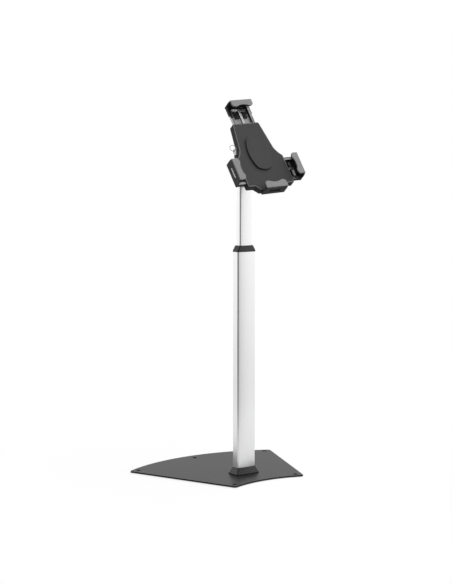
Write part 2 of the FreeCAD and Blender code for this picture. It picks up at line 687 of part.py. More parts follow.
def base_collar():
    body = new_body("base_collar")
    height = (PLATE_TOP, f"{PLATE_TOP} + base_collar_height")
    flared(body, height, "base_collar_band", lower_grown("base_collar_flare"), lower_grown("collar_rim"))
    bore = sketch_on(body, offset=PLATE_TOP)
    bowed(bore, *lower_grown("seat_gap"))
    pocket(body, bore)


def column_insert():
    body = new_body("column_insert")
    sketch = sketch_on(body, offset=PLATE_TOP)
    bowed(sketch, *shrunk(INNER_LOWER, "seat_gap"))
    pad(body, sketch, "insert_height")
    bores = sketch_on(body, offset=PLATE_TOP)
    for side in ("-", ""):
        circle(bores, f"{side}insert_bolt_spacing / 2", "0", "column_bolt + 2 * thread_gap")
    pocket(body, bores)
    screws = sketch_on(body, "XZ_Plane")
    circle(screws, "0", f"{PLATE_TOP} + insert_screw_rise", "insert_screw + 2 * thread_gap")
    pocket(body, screws, "lower_depth")


def column_screws():
    shank = value("column_bolt")
    head = value("column_bolt_head")
    screw = screw_shape(shank, head, (head - shank) / 2, value("column_bolt_length"), True)
    flip = Rotation(Vector(1, 0, 0), 180)
    places = [at(f"{side}insert_bolt_spacing / 2", up="pad_thickness", rotation=flip) for side in ("-", "")]
    copies("column_screws", screw, places)


def set_screw(diameter, length):
    """A headless screw along +Z with a socket in its end."""
    stem = Part.makeCylinder(diameter / 2, length)
    socket = Part.makeCylinder(diameter * SET_SOCKET_SHARE, diameter / 2, Vector(0, 0, length - diameter / 2))
    return stem.cut(socket)


BACKWARD = Rotation(Vector(1, 0, 0), -90)


def insert_screw():
    """Set screw through the tube's back wall into the block."""
    shape = set_screw(value("insert_screw"), value("lower_depth / 2 - seat_gap"))
    copies("insert_screw", shape, [at(up=f"{PLATE_TOP} + insert_screw_rise", rotation=BACKWARD)])


# Column

def lower_column():
    body = new_body("lower_column")
    sketch = sketch_on(body, offset=PLATE_TOP)
    bowed(sketch, "lower_width", "lower_depth", "lower_bow", "lower_radius")
    pad(body, sketch, "lower_length")
    inside = sketch_on(body, offset=PLATE_TOP)
    bowed(inside, *INNER_LOWER)
    pocket(body, inside)
    holes = sketch_on(body, "XZ_Plane")
    circle(holes, "0", CLAMP_HEIGHT, "clamp_spigot + 2 * thread_gap")
    circle(holes, "0", f"{PLATE_TOP} + insert_screw_rise", "insert_screw + 2 * thread_gap")
    pocket(body, holes, "lower_depth")


def top_collar():
    """Flared collar with the guide sleeve that fills the space between the tubes."""
    body = new_body("top_collar")
    height = (LOWER_TOP, f"{LOWER_TOP} + top_collar_height")
    flared(body, height, "top_collar_band", lower_grown("top_collar_brim"), upper_grown("top_collar_rim"))
    sleeve = sketch_on(body, offset=f"{LOWER_TOP} - sleeve_length")
    bowed(sleeve, *shrunk(INNER_LOWER, "seat_gap"))
    pad(body, sleeve, "sleeve_length")
    bore = sketch_on(body, offset=LOWER_TOP)
    bowed(bore, *upper_grown("slide_gap"))
    pocket(body, bore)
    stud_hole = sketch_on(body, "XZ_Plane")
    circle(stud_hole, "0", CLAMP_HEIGHT, "clamp_spigot + 2 * thread_gap")
    pocket(body, stud_hole, "lower_depth")


def clamp_boss():
    body = new_body("clamp_boss", at(up=CLAMP_HEIGHT, rotation=BACKWARD))
    inner = "lower_depth / 2 - lower_wall"
    outer = "lower_depth / 2 + clamp_boss_length"
    bore = "clamp_stud_diameter / 2 + thread_gap"
    corners = (
        (bore, inner),
        ("clamp_spigot / 2", inner),
        ("clamp_spigot / 2", "lower_depth / 2"),
        ("clamp_boss_diameter / 2", "lower_depth / 2"),
        ("clamp_boss_diameter / 2", outer),
        (bore, outer),
    )
    turned(body, corners)


KNOB_START = "(lower_depth / 2 + clamp_boss_length + knob_gap)"
STUD_TIP = "(upper_depth / 2 + slide_gap + pressure_pad_length)"


def clamp_stud():
    body = new_body("clamp_stud", at(up=CLAMP_HEIGHT, rotation=BACKWARD))
    sketch = sketch_on(body, offset=STUD_TIP)
    circle(sketch, "0", "0", "clamp_stud_diameter")
    pad(body, sketch, f"{KNOB_START} + knob_bore - {STUD_TIP}")


def pressure_pad():
    body = new_body("pressure_pad", at(up=CLAMP_HEIGHT, rotation=BACKWARD))
    sketch = sketch_on(body, offset="upper_depth / 2 + slide_gap")
    circle(sketch, "0", "0", "clamp_spigot - 2 * slide_gap")
    pad(body, sketch, "pressure_pad_length")


KNOB_LOBES = 5


def clamp_knob():
    body = new_body("clamp_knob", at(up=CLAMP_HEIGHT, rotation=BACKWARD))
    crown = f"{KNOB_START} + knob_length"
    hub = "clamp_boss_diameter / 2"
    corners = (
        ("0", KNOB_START),
        (hub, KNOB_START),
        (hub, f"{KNOB_START} + knob_neck"),
        ("knob_diameter / 2", f"{KNOB_START} + knob_neck"),
        ("knob_diameter / 2", f"{crown} - knob_bevel"),
        ("knob_diameter / 2 - knob_bevel", crown),
        ("0", crown),
    )
    turned(body, corners)
    flute = sketch_on(body, offset=KNOB_START)
    circle(flute, "knob_flute_place", "0", "knob_flute")
    cut = pocket(body, flute)
    ring = body.newObject("PartDesign::PolarPattern", "clamp_knob_flutes")
    ring.Originals = [cut]
    ring.Axis = (flute, ["N_Axis"])
    ring.Angle = 360
    ring.Occurrences = KNOB_LOBES
    body.Tip = ring
    doc.recompute()
    bore = sketch_on(body, offset=KNOB_START)
    circle(bore, "0", "0", "clamp_stud_diameter + 2 * thread_gap")
    pocket(body, bore, "knob_bore", back=True)


def upper_column():
    body = new_body("upper_column")
    sketch = sketch_on(body, offset=UPPER_BOTTOM)
    bowed(sketch, "upper_width", "upper_depth", "upper_bow", "upper_radius")
    pad(body, sketch, "upper_length")
    inside = sketch_on(body, offset=UPPER_BOTTOM)
    bowed(inside, *INNER_UPPER)
    pocket(body, inside)
    holes = sketch_on(body, "XZ_Plane")
    for height in NECK_SCREWS:
        circle(holes, "0", height, "neck_screw + 2 * thread_gap")
    pocket(body, holes, "upper_depth")


NECK_SCREWS = (
    f"{UPPER_TOP} - neck_plug / 2 - neck_screw_spacing / 2",
    f"{UPPER_TOP} - neck_plug / 2 + neck_screw_spacing / 2",
)


def lower_guide():
    """Sliding shoe pushed into the foot of the upper column."""
    body = new_body("lower_guide")
    shoe = sketch_on(body, offset=f"{UPPER_BOTTOM} - guide_height")
    bowed(shoe, *shrunk(INNER_LOWER, "slide_gap"))
    pad(body, shoe, "guide_height")
    plug = sketch_on(body, offset=UPPER_BOTTOM)
    bowed(plug, *shrunk(INNER_UPPER, "seat_gap"))
    pad(body, plug, "guide_plug")


# Head

def neck_casting():
    body = new_body("neck_casting", upward(UPPER_TOP))
    plug = sketch_on(body, offset="-neck_plug")
    bowed(plug, *shrunk(INNER_UPPER, "seat_gap"))
    pad(body, plug, "neck_plug")
    foot = sketch_on(body)
    bowed(foot, "upper_width", "upper_depth", "upper_bow", "upper_radius")
    top = sketch_on(body, offset="neck_taper")
    bowed(top, "neck_top_width", "neck_top_depth", "upper_bow", "upper_radius")
    loft(body, foot, top)
    post = sketch_on(body, offset="neck_taper")
    circle(post, "0", "0", "neck_post_diameter")
    pad(body, post, "neck_post")
    bore = sketch_on(body, offset="neck_taper + neck_post")
    circle(bore, "0", "0", "hinge_bolt + 2 * thread_gap")
    pocket(body, bore, "swivel_bore_depth")
    threads = sketch_on(body, "XZ_Plane")
    for height in NECK_SCREWS:
        circle(threads, "0", f"{height} - {UPPER_TOP}", "neck_screw + 2 * thread_gap")
    pocket(body, threads, "upper_depth")


def neck_screws():
    length = value("upper_depth / 2 - slide_gap")
    places = [at(up=height, rotation=BACKWARD) for height in NECK_SCREWS]
    copies("neck_screws", set_screw(value("neck_screw"), length), places)


def ring_part(name, placement, bottom, outside, inside, thickness):
    """A washer, disc or bush along its own Z axis."""
    body = new_body(name, placement)
    sketch = sketch_on(body, offset=bottom)
    circle(sketch, "0", "0", outside)
    circle(sketch, "0", "0", inside)
    pad(body, sketch, thickness)
    return body


BORE = "hinge_bolt + 2 * hinge_gap"
BASE_UNDER = f"({FORK_FLOOR} - pivot_rise)"
BASE_TOP = f"({BASE_UNDER} + fork_base)"


def swivel_disc():
    disc = ("neck_taper + neck_post", "neck_post_diameter", BORE, "swivel_disc_thickness")
    ring_part("swivel_disc", upward(UPPER_TOP), *disc)


def swivel_fork():
    body = new_body("swivel_fork", FORK_FRAME)
    sketch = sketch_on(body, "YZ_Plane", "-fork_diameter / 2")
    half = "ear_radius"
    corners = (
        (f"-{half}", BASE_UNDER),
        (half, BASE_UNDER),
        (half, "0"),
        (f"-{half}", "0"),
    )
    outline(sketch, corners, {2: ("0", half)})
    pad(body, sketch, "fork_diameter")
    slot = sketch_on(body, "XZ_Plane", "ear_radius")
    rectangle(slot, "-fork_slot / 2", "fork_slot / 2", BASE_TOP, "2 * ear_radius")
    pocket(body, slot)
    pin_bore = sketch_on(body, "YZ_Plane")
    circle(pin_bore, "0", "0", "hinge_bolt + 2 * thread_gap")
    pocket(body, pin_bore)
    base_bore = sketch_on(body, offset=BASE_UNDER)
    circle(base_bore, "0", "0", BORE)
    pocket(body, base_bore)
    under = value(BASE_UNDER)

    def foot_corner(item, middle, run):
        return upright(item, middle, run) and abs(middle.z - under) < value("fork_base + pivot_rise")

    fillet(body, foot_corner, "fork_corner")


def hinge_bolt(name, placement, head_top, length):
    """A socket-head bolt along -Z from the top of its head."""
    body = new_body(name, placement)
    head = sketch_on(body, offset=f"{head_top} - hinge_head_height")
    circle(head, "0", "0", "hinge_head")
    pad(body, head, "hinge_head_height")
    shank = sketch_on(body, offset=f"{head_top} - hinge_head_height")
    circle(shank, "0", "0", "hinge_bolt")
    pad(body, shank, length, back=True)
    socket = sketch_on(body, offset=head_top)
    hexagon(socket, "hinge_socket")
    pocket(body, socket, "socket_depth")


def swivel_bolt():
    ring_part("swivel_washer", FORK_FRAME, BASE_TOP, "washer_diameter", BORE, "washer_thickness")
    hinge_bolt(
        "swivel_bolt", FORK_FRAME, f"{BASE_TOP} + washer_thickness + hinge_head_height",
        "washer_thickness + fork_base + swivel_disc_thickness + swivel_bore_depth - bore_spare",
    )


def tilt_bolt():
    along = FORK_FRAME * Placement(Vector(), Rotation(Vector(0, 1, 0), 90))
    ear = "fork_diameter / 2"
    hinge_bolt("tilt_bolt", along, f"{ear} + hinge_head_height", "fork_diameter + nut_height + bolt_overhang")
    nut = new_body("tilt_nut", along)
    sketch = sketch_on(nut, offset=f"-{ear} - nut_height")
    hexagon(sketch, "hinge_head / sqrt(3)")
    circle(sketch, "0", "0", "hinge_bolt + 2 * thread_gap")
    pad(nut, sketch, "nut_height")
    washers = new_body("tilt_washers", along)
    gap = "(fork_slot - tongue_width) / 2"
    middle = f"(tongue_width / 2 + {gap} / 2)"
    for side in ("", "-"):
        disc = sketch_on(washers, offset=f"{side}{middle} - tilt_washer_thickness / 2")
        circle(disc, "0", "0", "tilt_washer_diameter")
        circle(disc, "0", "0", BORE)
        pad(washers, disc, "tilt_washer_thickness")


ARM_DISC_TOP = "(face_reach - body_thickness - hub_thickness - friction_disc_thickness)"


def tilt_arm():
    body = new_body("tilt_arm", TILT_FRAME)
    disc_under = f"({ARM_DISC_TOP} - arm_disc_thickness)"
    sketch = sketch_on(body, "YZ_Plane", "-tongue_width / 2")
    flare = "(arm_disc_diameter / 2 - arm_flare_inset)"
    corners = (
        ("-tongue_radius", "0"),
        ("tongue_radius", "0"),
        ("tongue_radius", f"{disc_under} - arm_flare_length"),
        (flare, disc_under),
        (f"-{flare}", disc_under),
        ("-tongue_radius", f"{disc_under} - arm_flare_length"),
    )
    outline(sketch, corners, {0: ("0", "-tongue_radius")})
    pad(body, sketch, "tongue_width")
    disc = sketch_on(body, offset=disc_under)
    circle(disc, "0", "0", "arm_disc_diameter")
    pad(body, disc, "arm_disc_thickness")
    pin_bore = sketch_on(body, "YZ_Plane")
    circle(pin_bore, "0", "0", BORE)
    pocket(body, pin_bore)
    hub_bore = sketch_on(body, offset=ARM_DISC_TOP)
    circle(hub_bore, "0", "0", "hinge_bolt + 2 * thread_gap")
    pocket(body, hub_bore, "hub_bolt_depth + bore_spare")


HUB_HOLLOW = "(hub_head_height + hub_head_room)"


def hub():
    disc = (ARM_DISC_TOP, "friction_disc_diameter", BORE, "friction_disc_thickness")
    ring_part("friction_disc", TILT_FRAME, *disc)
    bolt = new_body("hub_bolt", TILT_FRAME)
    seat = f"(face_reach - body_thickness - {HUB_HOLLOW})"
    head = sketch_on(bolt, offset=seat)
    circle(head, "0", "0", "hub_head")
    pad(bolt, head, "hub_head_height")
    shank = sketch_on(bolt, offset=seat)
    circle(shank, "0", "0", "hinge_bolt")
    pad(bolt, shank, f"{seat} - {ARM_DISC_TOP} + hub_bolt_depth", back=True)
    plate = new_body("hub_plate", HOLDER_FRAME)
    outside = sketch_on(plate, offset="-body_thickness - hub_thickness")
    circle(outside, "0", "0", "hub_diameter")
    circle(outside, "0", "0", BORE)
    for across, along in hub_screw_places():
        circle(outside, across, along, "hub_screw + 2 * thread_gap")
    pad(plate, outside, "hub_thickness")
    hollow = sketch_on(plate, offset="-body_thickness")
    circle(hollow, "0", "0", "hub_head + 2 * hub_head_room")
    pocket(plate, hollow, HUB_HOLLOW)


def hub_screw_places():
    half = "hub_screw_circle / 2 * sqrt(0.5)"
    return [(f"{x}{half}", f"{y}{half}") for x in ("-", "") for y in ("-", "")]


def hub_screws():
    head_height = value("hub_screw_head_height")
    length = head_height + value("cover_wall + hub_thickness - bore_spare")
    screw = screw_shape(value("hub_screw"), value("hub_screw_head"), head_height, length)
    top = "-body_thickness + cover_wall + hub_screw_head_height"
    places = [at(across, along, top) for across, along in hub_screw_places()]
    copies("hub_screws", screw, places, HOLDER_FRAME)


# Holder covers

def body_outline(sketch, inset="0"):
    """The holder's outline: narrow top, shoulders, wide foot and a chin for the bottom claw."""
    i = f"({inset})"
    right = (
        (f"chin_half_width - {i}", f"-chin_drop + {i}"),
        (f"chin_half_width + chin_run - {i}", f"-foot_drop + {i}"),
        (f"foot_half_width - {i}", f"-foot_drop + {i}"),
        (f"shoulder_half_width - {i}", f"-shoulder_drop - {i} / 2"),
        (f"waist_half_width - {i}", f"waist_height - {i} / 2"),
        (f"top_half_width - {i}", f"top_edge - {i}"),
    )
    left = [(f"-({across})", up) for across, up in reversed(right)]
    middle = f"(waist_half_width + shoulder_half_width) / 2 - shoulder_hollow - {i}"
    height = f"(waist_height - shoulder_drop) / 2 - shoulder_hollow - {i} / 2"
    outline(sketch, (*right, *left), {3: (middle, height), 7: (f"-({middle})", height)})


SCREW_PLACES = (
    ("waist_half_width - upper_screw_inset", "waist_height + upper_screw_rise"),
    ("upper_screw_inset - waist_half_width", "waist_height + upper_screw_rise"),
    ("foot_half_width - lower_screw_inset", "lower_screw_rise - foot_drop"),
    ("lower_screw_inset - foot_half_width", "lower_screw_rise - foot_drop"),
)
WINDOW = "(claw_half_width + arm_gap)"


def arm_windows(body, face, depth, back):
    """Cuts the openings that the arms and the bottom claw pass through."""
    side_bottom = f"-side_drop - {WINDOW}"
    side_top = f"-side_drop + {WINDOW}"
    inner = "foot_half_width - 3 * cover_wall"
    outer = "foot_half_width + cover_wall"
    windows = (
        (f"-{WINDOW}", WINDOW, "top_edge - 2 * cover_wall", "top_edge + cover_wall"),
        (inner, outer, side_bottom, side_top),
        (f"-({outer})", f"-({inner})", side_bottom, side_top),
        (f"-{WINDOW}", WINDOW, "-chin_drop - cover_wall", "-chin_drop + 2 * cover_wall"),
    )
    for left, right, bottom, top in windows:
        sketch = sketch_on(body, offset=face)
        rectangle(sketch, left, right, bottom, top)
        pocket(body, sketch, depth, back)


def lock_bore(body):
    """The hole that holds the lock barrel, along the holder's height."""
    sketch = sketch_on(body, "XZ_Plane", "lock_front + lock_length")
    circle(sketch, "-lock_place", "-lock_depth", "barrel_diameter + 2 * seat_gap")
    pocket(body, sketch, "lock_length + barrel_diameter")


def oval(sketch):
    heel = "boss_heel_rise - boss_bottom"
    shoulder = "boss_top - boss_shoulder_drop"
    corners = (
        ("-boss_heel_half_width", heel),
        ("boss_heel_half_width", heel),
        ("boss_shoulder_half_width", shoulder),
        ("-boss_shoulder_half_width", shoulder),
    )
    arcs = {
        0: ("0", "-boss_bottom"),
        1: ("boss_half_width", "-boss_middle"),
        2: ("0", "boss_top"),
        3: ("-boss_half_width", "-boss_middle"),
    }
    outline(sketch, corners, arcs)


def front_cover():
    body = new_body("front_cover", HOLDER_FRAME)
    sketch = sketch_on(body, offset="-front_cover_depth")
    body_outline(sketch)
    pad(body, sketch, "front_cover_depth")
    fillet(body, upright, "body_corner_radius")

    def face_edge(edge, middle, run):
        return abs(middle.z) < 0.01 and abs(run.z) < 0.01

    chamfer(body, face_edge, "edge_bevel")
    hollow = sketch_on(body, offset="-front_cover_depth")
    body_outline(hollow, "cover_wall")
    pocket(body, hollow, "front_cover_depth - cover_wall", back=True)
    bosses = sketch_on(body, offset="-front_cover_depth")
    for across, along in SCREW_PLACES:
        circle(bosses, across, along, "screw_boss")
    pad(body, bosses, "front_cover_depth - cover_wall / 2")
    threads = sketch_on(body, offset="-front_cover_depth")
    for across, along in SCREW_PLACES:
        circle(threads, across, along, "cover_screw + 2 * thread_gap")
    pocket(body, threads, "front_cover_depth - cover_wall", back=True)
    arm_windows(body, "-front_cover_depth", "front_cover_depth - channel_top + arm_gap", True)
    lock_bore(body)
    raised = sketch_on(body)
    oval(raised)
    pad(body, raised, "boss_height")
    rim_height = value("boss_height")

    def rim(edge, middle, run):
        return abs(middle.z - rim_height) < 0.01

    fillet(body, rim, "boss_edge_radius")


def rear_cover():
    body = new_body("rear_cover", HOLDER_FRAME)
    sketch = sketch_on(body, offset="-body_thickness")
    body_outline(sketch)
    pad(body, sketch, "body_thickness - front_cover_depth")
    fillet(body, upright, "body_corner_radius")
    back = value("-body_thickness")

    def back_edge(edge, middle, run):
        return abs(middle.z - back) < 0.01 and abs(run.z) < 0.01

    chamfer(body, back_edge, "rear_bevel")
    hollow = sketch_on(body, offset="-front_cover_depth")
    body_outline(hollow, "rear_wall")
    pocket(body, hollow, "body_thickness - front_cover_depth - cover_wall")
    bosses = sketch_on(body, offset="-body_thickness + cover_wall / 2")
    for across, along in SCREW_PLACES:
        circle(bosses, across, along, "screw_boss")
    pad(body, bosses, "body_thickness - front_cover_depth - cover_wall / 2")
    holes = sketch_on(body, offset="-front_cover_depth")
    for across, along in SCREW_PLACES:
        circle(holes, across, along, "cover_screw + 2 * thread_gap")
    for across, along in hub_screw_places():
        circle(holes, across, along, "hub_screw + 2 * thread_gap")
    pocket(body, holes)
    heads = sketch_on(body, offset="-body_thickness")
    for across, along in SCREW_PLACES:
        circle(heads, across, along, "cover_screw_head + 2 * seat_gap")
    pocket(body, heads, "cover_screw_sink", back=True)
    arm_windows(body, "-front_cover_depth", "channel_floor + arm_gap - front_cover_depth", False)
    lock_bore(body)
    rails = sketch_on(body, offset="-body_thickness + cover_wall / 2")
    side_top = "(-side_drop + arm_half_width - side_rail_inset)"
    side_bottom = "(-side_drop - arm_half_width + side_rail_inset)"
    start, end = "side_rail_start", "side_rail_end"
    rectangle(rails, "rail_aside", "rail_aside + rail_width", "rail_start", "rail_end")
    rectangle(rails, start, end, f"{side_top} - side_rail_width", side_top)
    rectangle(rails, start, end, side_bottom, f"{side_bottom} + side_rail_width")
    rectangle(rails, f"-{end}", f"-{start}", side_bottom, f"{side_bottom} + side_rail_width")
    pad(body, rails, "body_thickness - cover_wall / 2 - channel_floor - arm_gap")
    seat = sketch_on(body, offset="-body_thickness + cover_wall / 2")
    circle(seat, "0", "-side_drop", "axle_flange")
    circle(seat, "0", "-side_drop", "axle_diameter + 2 * thread_gap")
    pad(body, seat, "body_thickness - cover_wall / 2 - channel_floor - 2 * arm_gap")


def cover_screws():
    head_height = value("cover_head_height")
    length = value("body_thickness - cover_screw_sink - cover_wall - cover_screw_spare")
    screw = screw_shape(value("cover_screw"), value("cover_screw_head"), head_height, length)
    flip = Rotation(Vector(1, 0, 0), 180)
    depth = "-body_thickness + cover_screw_sink - cover_head_height"
    places = [at(across, along, depth, flip) for across, along in SCREW_PLACES]
    copies("cover_screws", screw, places, HOLDER_FRAME)


def rod_guides():
    body = new_body("rod_guides", HOLDER_FRAME)
    sketch = sketch_on(body, offset="-channel_floor + sheet_wall + arm_gap")
    half = "guide_width / 2"
    along = "guide_length / 2"
    rectangle(sketch, f"-{half}", half, f"top_guide_place - {along}", f"top_guide_place + {along}")
    for side in ("", "-"):
        place = f"{side}side_guide_place"
        rectangle(
            sketch, f"{place} - {along}", f"{place} + {along}", f"-side_drop - {half}", f"-side_drop + {half}"
        )
    pad(body, sketch, "channel_floor - sheet_wall - arm_gap - cover_wall")
    top_bore = sketch_on(body, "XZ_Plane")
    circle(top_bore, "0", "-rod_depth", "rod_diameter + 2 * arm_gap")
    pocket(body, top_bore, "2 * top_guide_place")
    side_bore = sketch_on(body, "YZ_Plane")
    circle(side_bore, "-side_drop", "-rod_depth", "rod_diameter + 2 * arm_gap")
    pocket(body, side_bore)


# Arms: each is built pointing along +Y in its own frame

# Place of the peg, then the holes past it for the arm pushed in and for the arm pulled out
TOP_PEG_HOLES = ("-top_peg_x", "top_peg_y", 9, 1)
LEFT_PEG_HOLES = ("side_drop - left_peg_y", "left_peg_x", 4, 1)


def channel(name, frame, reach, start, pegs=None):
    """Lipped steel channel, with a row of peg holes where the lock plate reaches it."""
    body = new_body(name, frame)
    sketch = sketch_on(body, "XZ_Plane", f"-{start}")
    side = "arm_half_width"
    inner = "(arm_half_width - sheet_wall)"
    lip = "(arm_half_width - channel_lip)"
    floor = "-channel_floor"
    floor_top = "(-channel_floor + sheet_wall)"
    top = "-channel_top"
    lip_under = "(-channel_top - sheet_wall)"
    right = (
        (side, floor),
        (side, top),
        (lip, top),
        (lip, lip_under),
        (inner, lip_under),
        (inner, floor_top),
    )
    left = [(f"-{across}", up) for across, up in reversed(right)]
    outline(sketch, (*right, *left))
    pad(body, sketch, f"{reach} - claw_wall - {start}", back=True)
    tongue = sketch_on(body, "YZ_Plane", "-slot_half_width - tongue_margin")
    near = f"({reach} - (claw_wall + sheet_wall) / 2)"
    far = f"({near} + sheet_wall)"
    corners = (
        (f"{reach} - claw_wall", floor),
        (far, floor),
        (far, "slot_top + tongue_margin"),
        (near, "slot_top + tongue_margin"),
        (near, floor_top),
        (f"{reach} - claw_wall", floor_top),
    )
    outline(tongue, corners)
    pad(body, tongue, "2 * (slot_half_width + tongue_margin)")
    if pegs:
        across, along, steps_in, steps_out = pegs
        hole = sketch_on(body, offset=floor)
        circle(hole, across, f"{along} - peg_pitch * {steps_out}", "peg_diameter + peg_room")
        cut = pocket(body, hole, "2 * sheet_wall", back=True)
        row = body.newObject("PartDesign::LinearPattern", name + "_holes")
        row.Originals = [cut]
        row.Direction = (hole, ["V_Axis"])
        row.Occurrences = round(steps_in + steps_out) + 1
        bind(row, "Length", f"peg_pitch * {round(steps_in + steps_out)}")
        body.Tip = row
        doc.recompute()
    return body


def rod(name, frame, reach, start):
    body = new_body(name, frame)
    sketch = sketch_on(body, "XZ_Plane", f"-{start}")
    circle(sketch, "0", "-rod_depth", "rod_diameter")
    pad(body, sketch, f"{reach} - claw_wall - foot_bar - {start}", back=True)


def claw(name, frame, reach, cheek_depth="cheek_depth"):
    """Claw with its outer wall, slotted, the lip's core, cheeks and a foot that lies in the channel."""
    body = new_body(name, frame)
    wall = sketch_on(body, "XZ_Plane", f"-({reach} - claw_wall)")
    side = "claw_half_width"
    core_top = "(lip_top - pad_cover)"
    corners = (
        (f"-{side}", "-claw_foot"),
        (side, "-claw_foot"),
        (side, f"{core_top} - claw_shoulder"),
        ("lip_half_width", core_top),
        ("-lip_half_width", core_top),
        (f"-{side}", f"{core_top} - claw_shoulder"),
    )
    outline(wall, corners)
    pad(body, wall, "claw_wall", back=True)
    lip = sketch_on(body, offset=f"{core_top} - lip_core")
    lip_outline(lip, reach, "lip_core_inset")
    pad(body, lip, "lip_core")
    inner = f"{reach} - {cheek_depth}"
    outer = f"{reach} - claw_overlap"
    for side in ("claw_half_width - cheek_wall", "-claw_half_width"):
        cheek = sketch_on(body, "YZ_Plane", side)
        rectangle(cheek, inner, outer, "-channel_floor", "-channel_top")
        pad(body, cheek, "cheek_wall")
    return body


def lip_outline(sketch, reach, inset="0"):
    """Straight outer edge and an inner edge with two lobes and a hollow between them."""
    i = f"({inset})"
    half = f"(lip_half_width - {i})"
    lobe = f"({reach} - lip_depth + {i})"
    outer = f"({reach} - {i} / 2)"
    turn = "(lobe_place - lobe_run)"
    corners = (
        (half, outer),
        (f"-{half}", outer),
        (f"-{half}", f"{lobe} + lobe_heel"),
        (f"-{turn}", f"{lobe} + lobe_toe"),
        (turn, f"{lobe} + lobe_toe"),
        (half, f"{lobe} + lobe_heel"),
    )
    arcs = {
        2: ("-lobe_place", lobe),
        3: ("0", f"{lobe} + lip_scallop"),
        4: ("lobe_place", lobe),
    }
    outline(sketch, corners, arcs)


def claw_pad(name, frame, reach):
    body = new_body(name, frame)
    sketch = sketch_on(body, offset="lip_top - pad_cover")
    lip_outline(sketch, reach)
    pad(body, sketch, "pad_cover")
    top = value("lip_top")

    def rim(edge, middle, run):
        return abs(middle.z - top) < 0.01

    fillet(body, rim, "pad_cover / 3")


def claw_foot(body, reach, fingers=True):
    """Foot of a claw: bar, window, cross bar and two fingers beside the rod."""
    bottom = "(-channel_floor + sheet_wall)"
    foot = sketch_on(body, offset=bottom)
    inside = f"({reach} - claw_wall - foot_bar - foot_window - foot_cross)"
    side = "foot_half_inside"
    if fingers:
        corners = (
            (side, f"{reach} - claw_overlap"),
            (f"-{side}", f"{reach} - claw_overlap"),
            (f"-{side}", inside),
            ("-finger_outer", inside),
            ("-finger_outer", f"{inside} - finger_length"),
            ("-finger_inner", f"{inside} - finger_length"),
            ("-finger_inner", inside),
            ("finger_inner", inside),
            ("finger_inner", f"{inside} - finger_length"),
            ("finger_outer", f"{inside} - finger_length"),
            ("finger_outer", inside),
            (side, inside),
        )
        outline(foot, corners)
    else:
        rectangle(foot, f"-{side}", side, inside, f"{reach} - claw_overlap")
    pad(body, foot, f"-foot_face - {bottom}")
    window = sketch_on(body, offset="-foot_face")
    bar = f"({reach} - claw_wall - foot_bar)"
    rectangle(window, "-window_half_width", "window_half_width", f"{bar} - foot_window", bar)
    pocket(body, window, f"-foot_face - {bottom}")
    slot = sketch_on(body, "XZ_Plane", f"-({reach} - claw_wall)")
    rectangle(slot, "-slot_half_width", "slot_half_width", "slot_bottom", "slot_top")
    pocket(body, slot, "claw_wall")
    if fingers:
        tongue_room(body, reach)
        rod_hole = sketch_on(body, "XZ_Plane", f"-({bar} - foot_window - foot_cross)")
        circle(rod_hole, "0", "-rod_depth", "rod_diameter + 2 * thread_gap")
        pocket(body, rod_hole, "foot_window + foot_cross")


def tongue_room(body, reach):
    """Hollow of the claw's wall that takes the channel's upturned tongue."""
    half = "(slot_half_width + tongue_margin + seat_gap)"
    near = f"{reach} - (claw_wall + sheet_wall) / 2 - seat_gap"
    far = f"{reach} - (claw_wall - sheet_wall) / 2 + seat_gap"
    hollow = sketch_on(body, offset="-claw_foot")
    rectangle(hollow, f"-{half}", half, near, far)
    pocket(body, hollow, "claw_foot + slot_top + tongue_margin + seat_gap", back=True)
    entry = sketch_on(body, offset="-claw_foot")
    rectangle(entry, f"-{half}", half, f"{reach} - claw_wall - seat_gap", near)
    pocket(body, entry, "claw_foot - channel_floor + sheet_wall", back=True)


def arm(name, frame, reach, channel_start, rod_start, pegs=None):
    channel(name + "_channel", frame, reach, channel_start, pegs)
    rod(name + "_rod", frame, reach, rod_start)
    body = claw(name + "_claw", frame, reach)
    claw_foot(body, reach)
    claw_pad(name + "_pad", frame, reach)


def bottom_claw():
    body = claw("bottom_claw", BOTTOM_FRAME, "bottom_reach", "bottom_cheek_depth")
    claw_foot(body, "bottom_reach", fingers=False)
    claw_pad("bottom_pad", BOTTOM_FRAME, "bottom_reach")


# Rack and pinion

PITCH_RADIUS = "(tooth_module * pinion_teeth / 2)"
ROOT_DEPTH = 1.25
TIP_HEIGHT = 0.9


def rack(name, frame):
    """A rack that lies along its arm, to the left of the arm's middle seen from the front."""
    pitch = math.pi * value("tooth_module")
    line = -value(PITCH_RADIUS)
    addendum = value("tooth_module")
    back = line - value("rack_back")
    root = line - ROOT_DEPTH * addendum
    end = value("side_channel_start + rack_foot")
    start = end - value("rack_length")
    points = [Vector(back, start, 0), Vector(back, end, 0), Vector(root, end, 0)]
    wide = value("tooth_share / 2 + root_share") * pitch
    narrow = value("tooth_share / 2 - tip_share") * pitch
    count = round(value("rack_teeth"))
    for tooth in reversed(range(count)):
        middle = pitch * (tooth - value("teeth_inward"))
        points.append(Vector(root, middle + wide, 0))
        points.append(Vector(line + addendum, middle + narrow, 0))
        points.append(Vector(line + addendum, middle - narrow, 0))
        points.append(Vector(root, middle - wide, 0))
    points.append(Vector(root, start, 0))
    points.append(points[0])
    profile = Part.Face(Part.makePolygon(points))
    profile.translate(Vector(0, 0, -value("gear_bottom")))
    bar = profile.extrude(Vector(0, 0, value("gear_thickness")))
    lift = value("channel_floor - sheet_wall - gear_bottom")
    foot = Part.makeBox(
        root - back, value("rack_foot"), lift,
        Vector(back, end - value("rack_foot"), -value("gear_bottom") - lift),
    )
    feature = doc.addObject("Part::Feature", name)
    feature.Label = name
    feature.Shape = bar.fuse(foot).removeSplitter()
    feature.Placement = frame
    parts.append(feature)


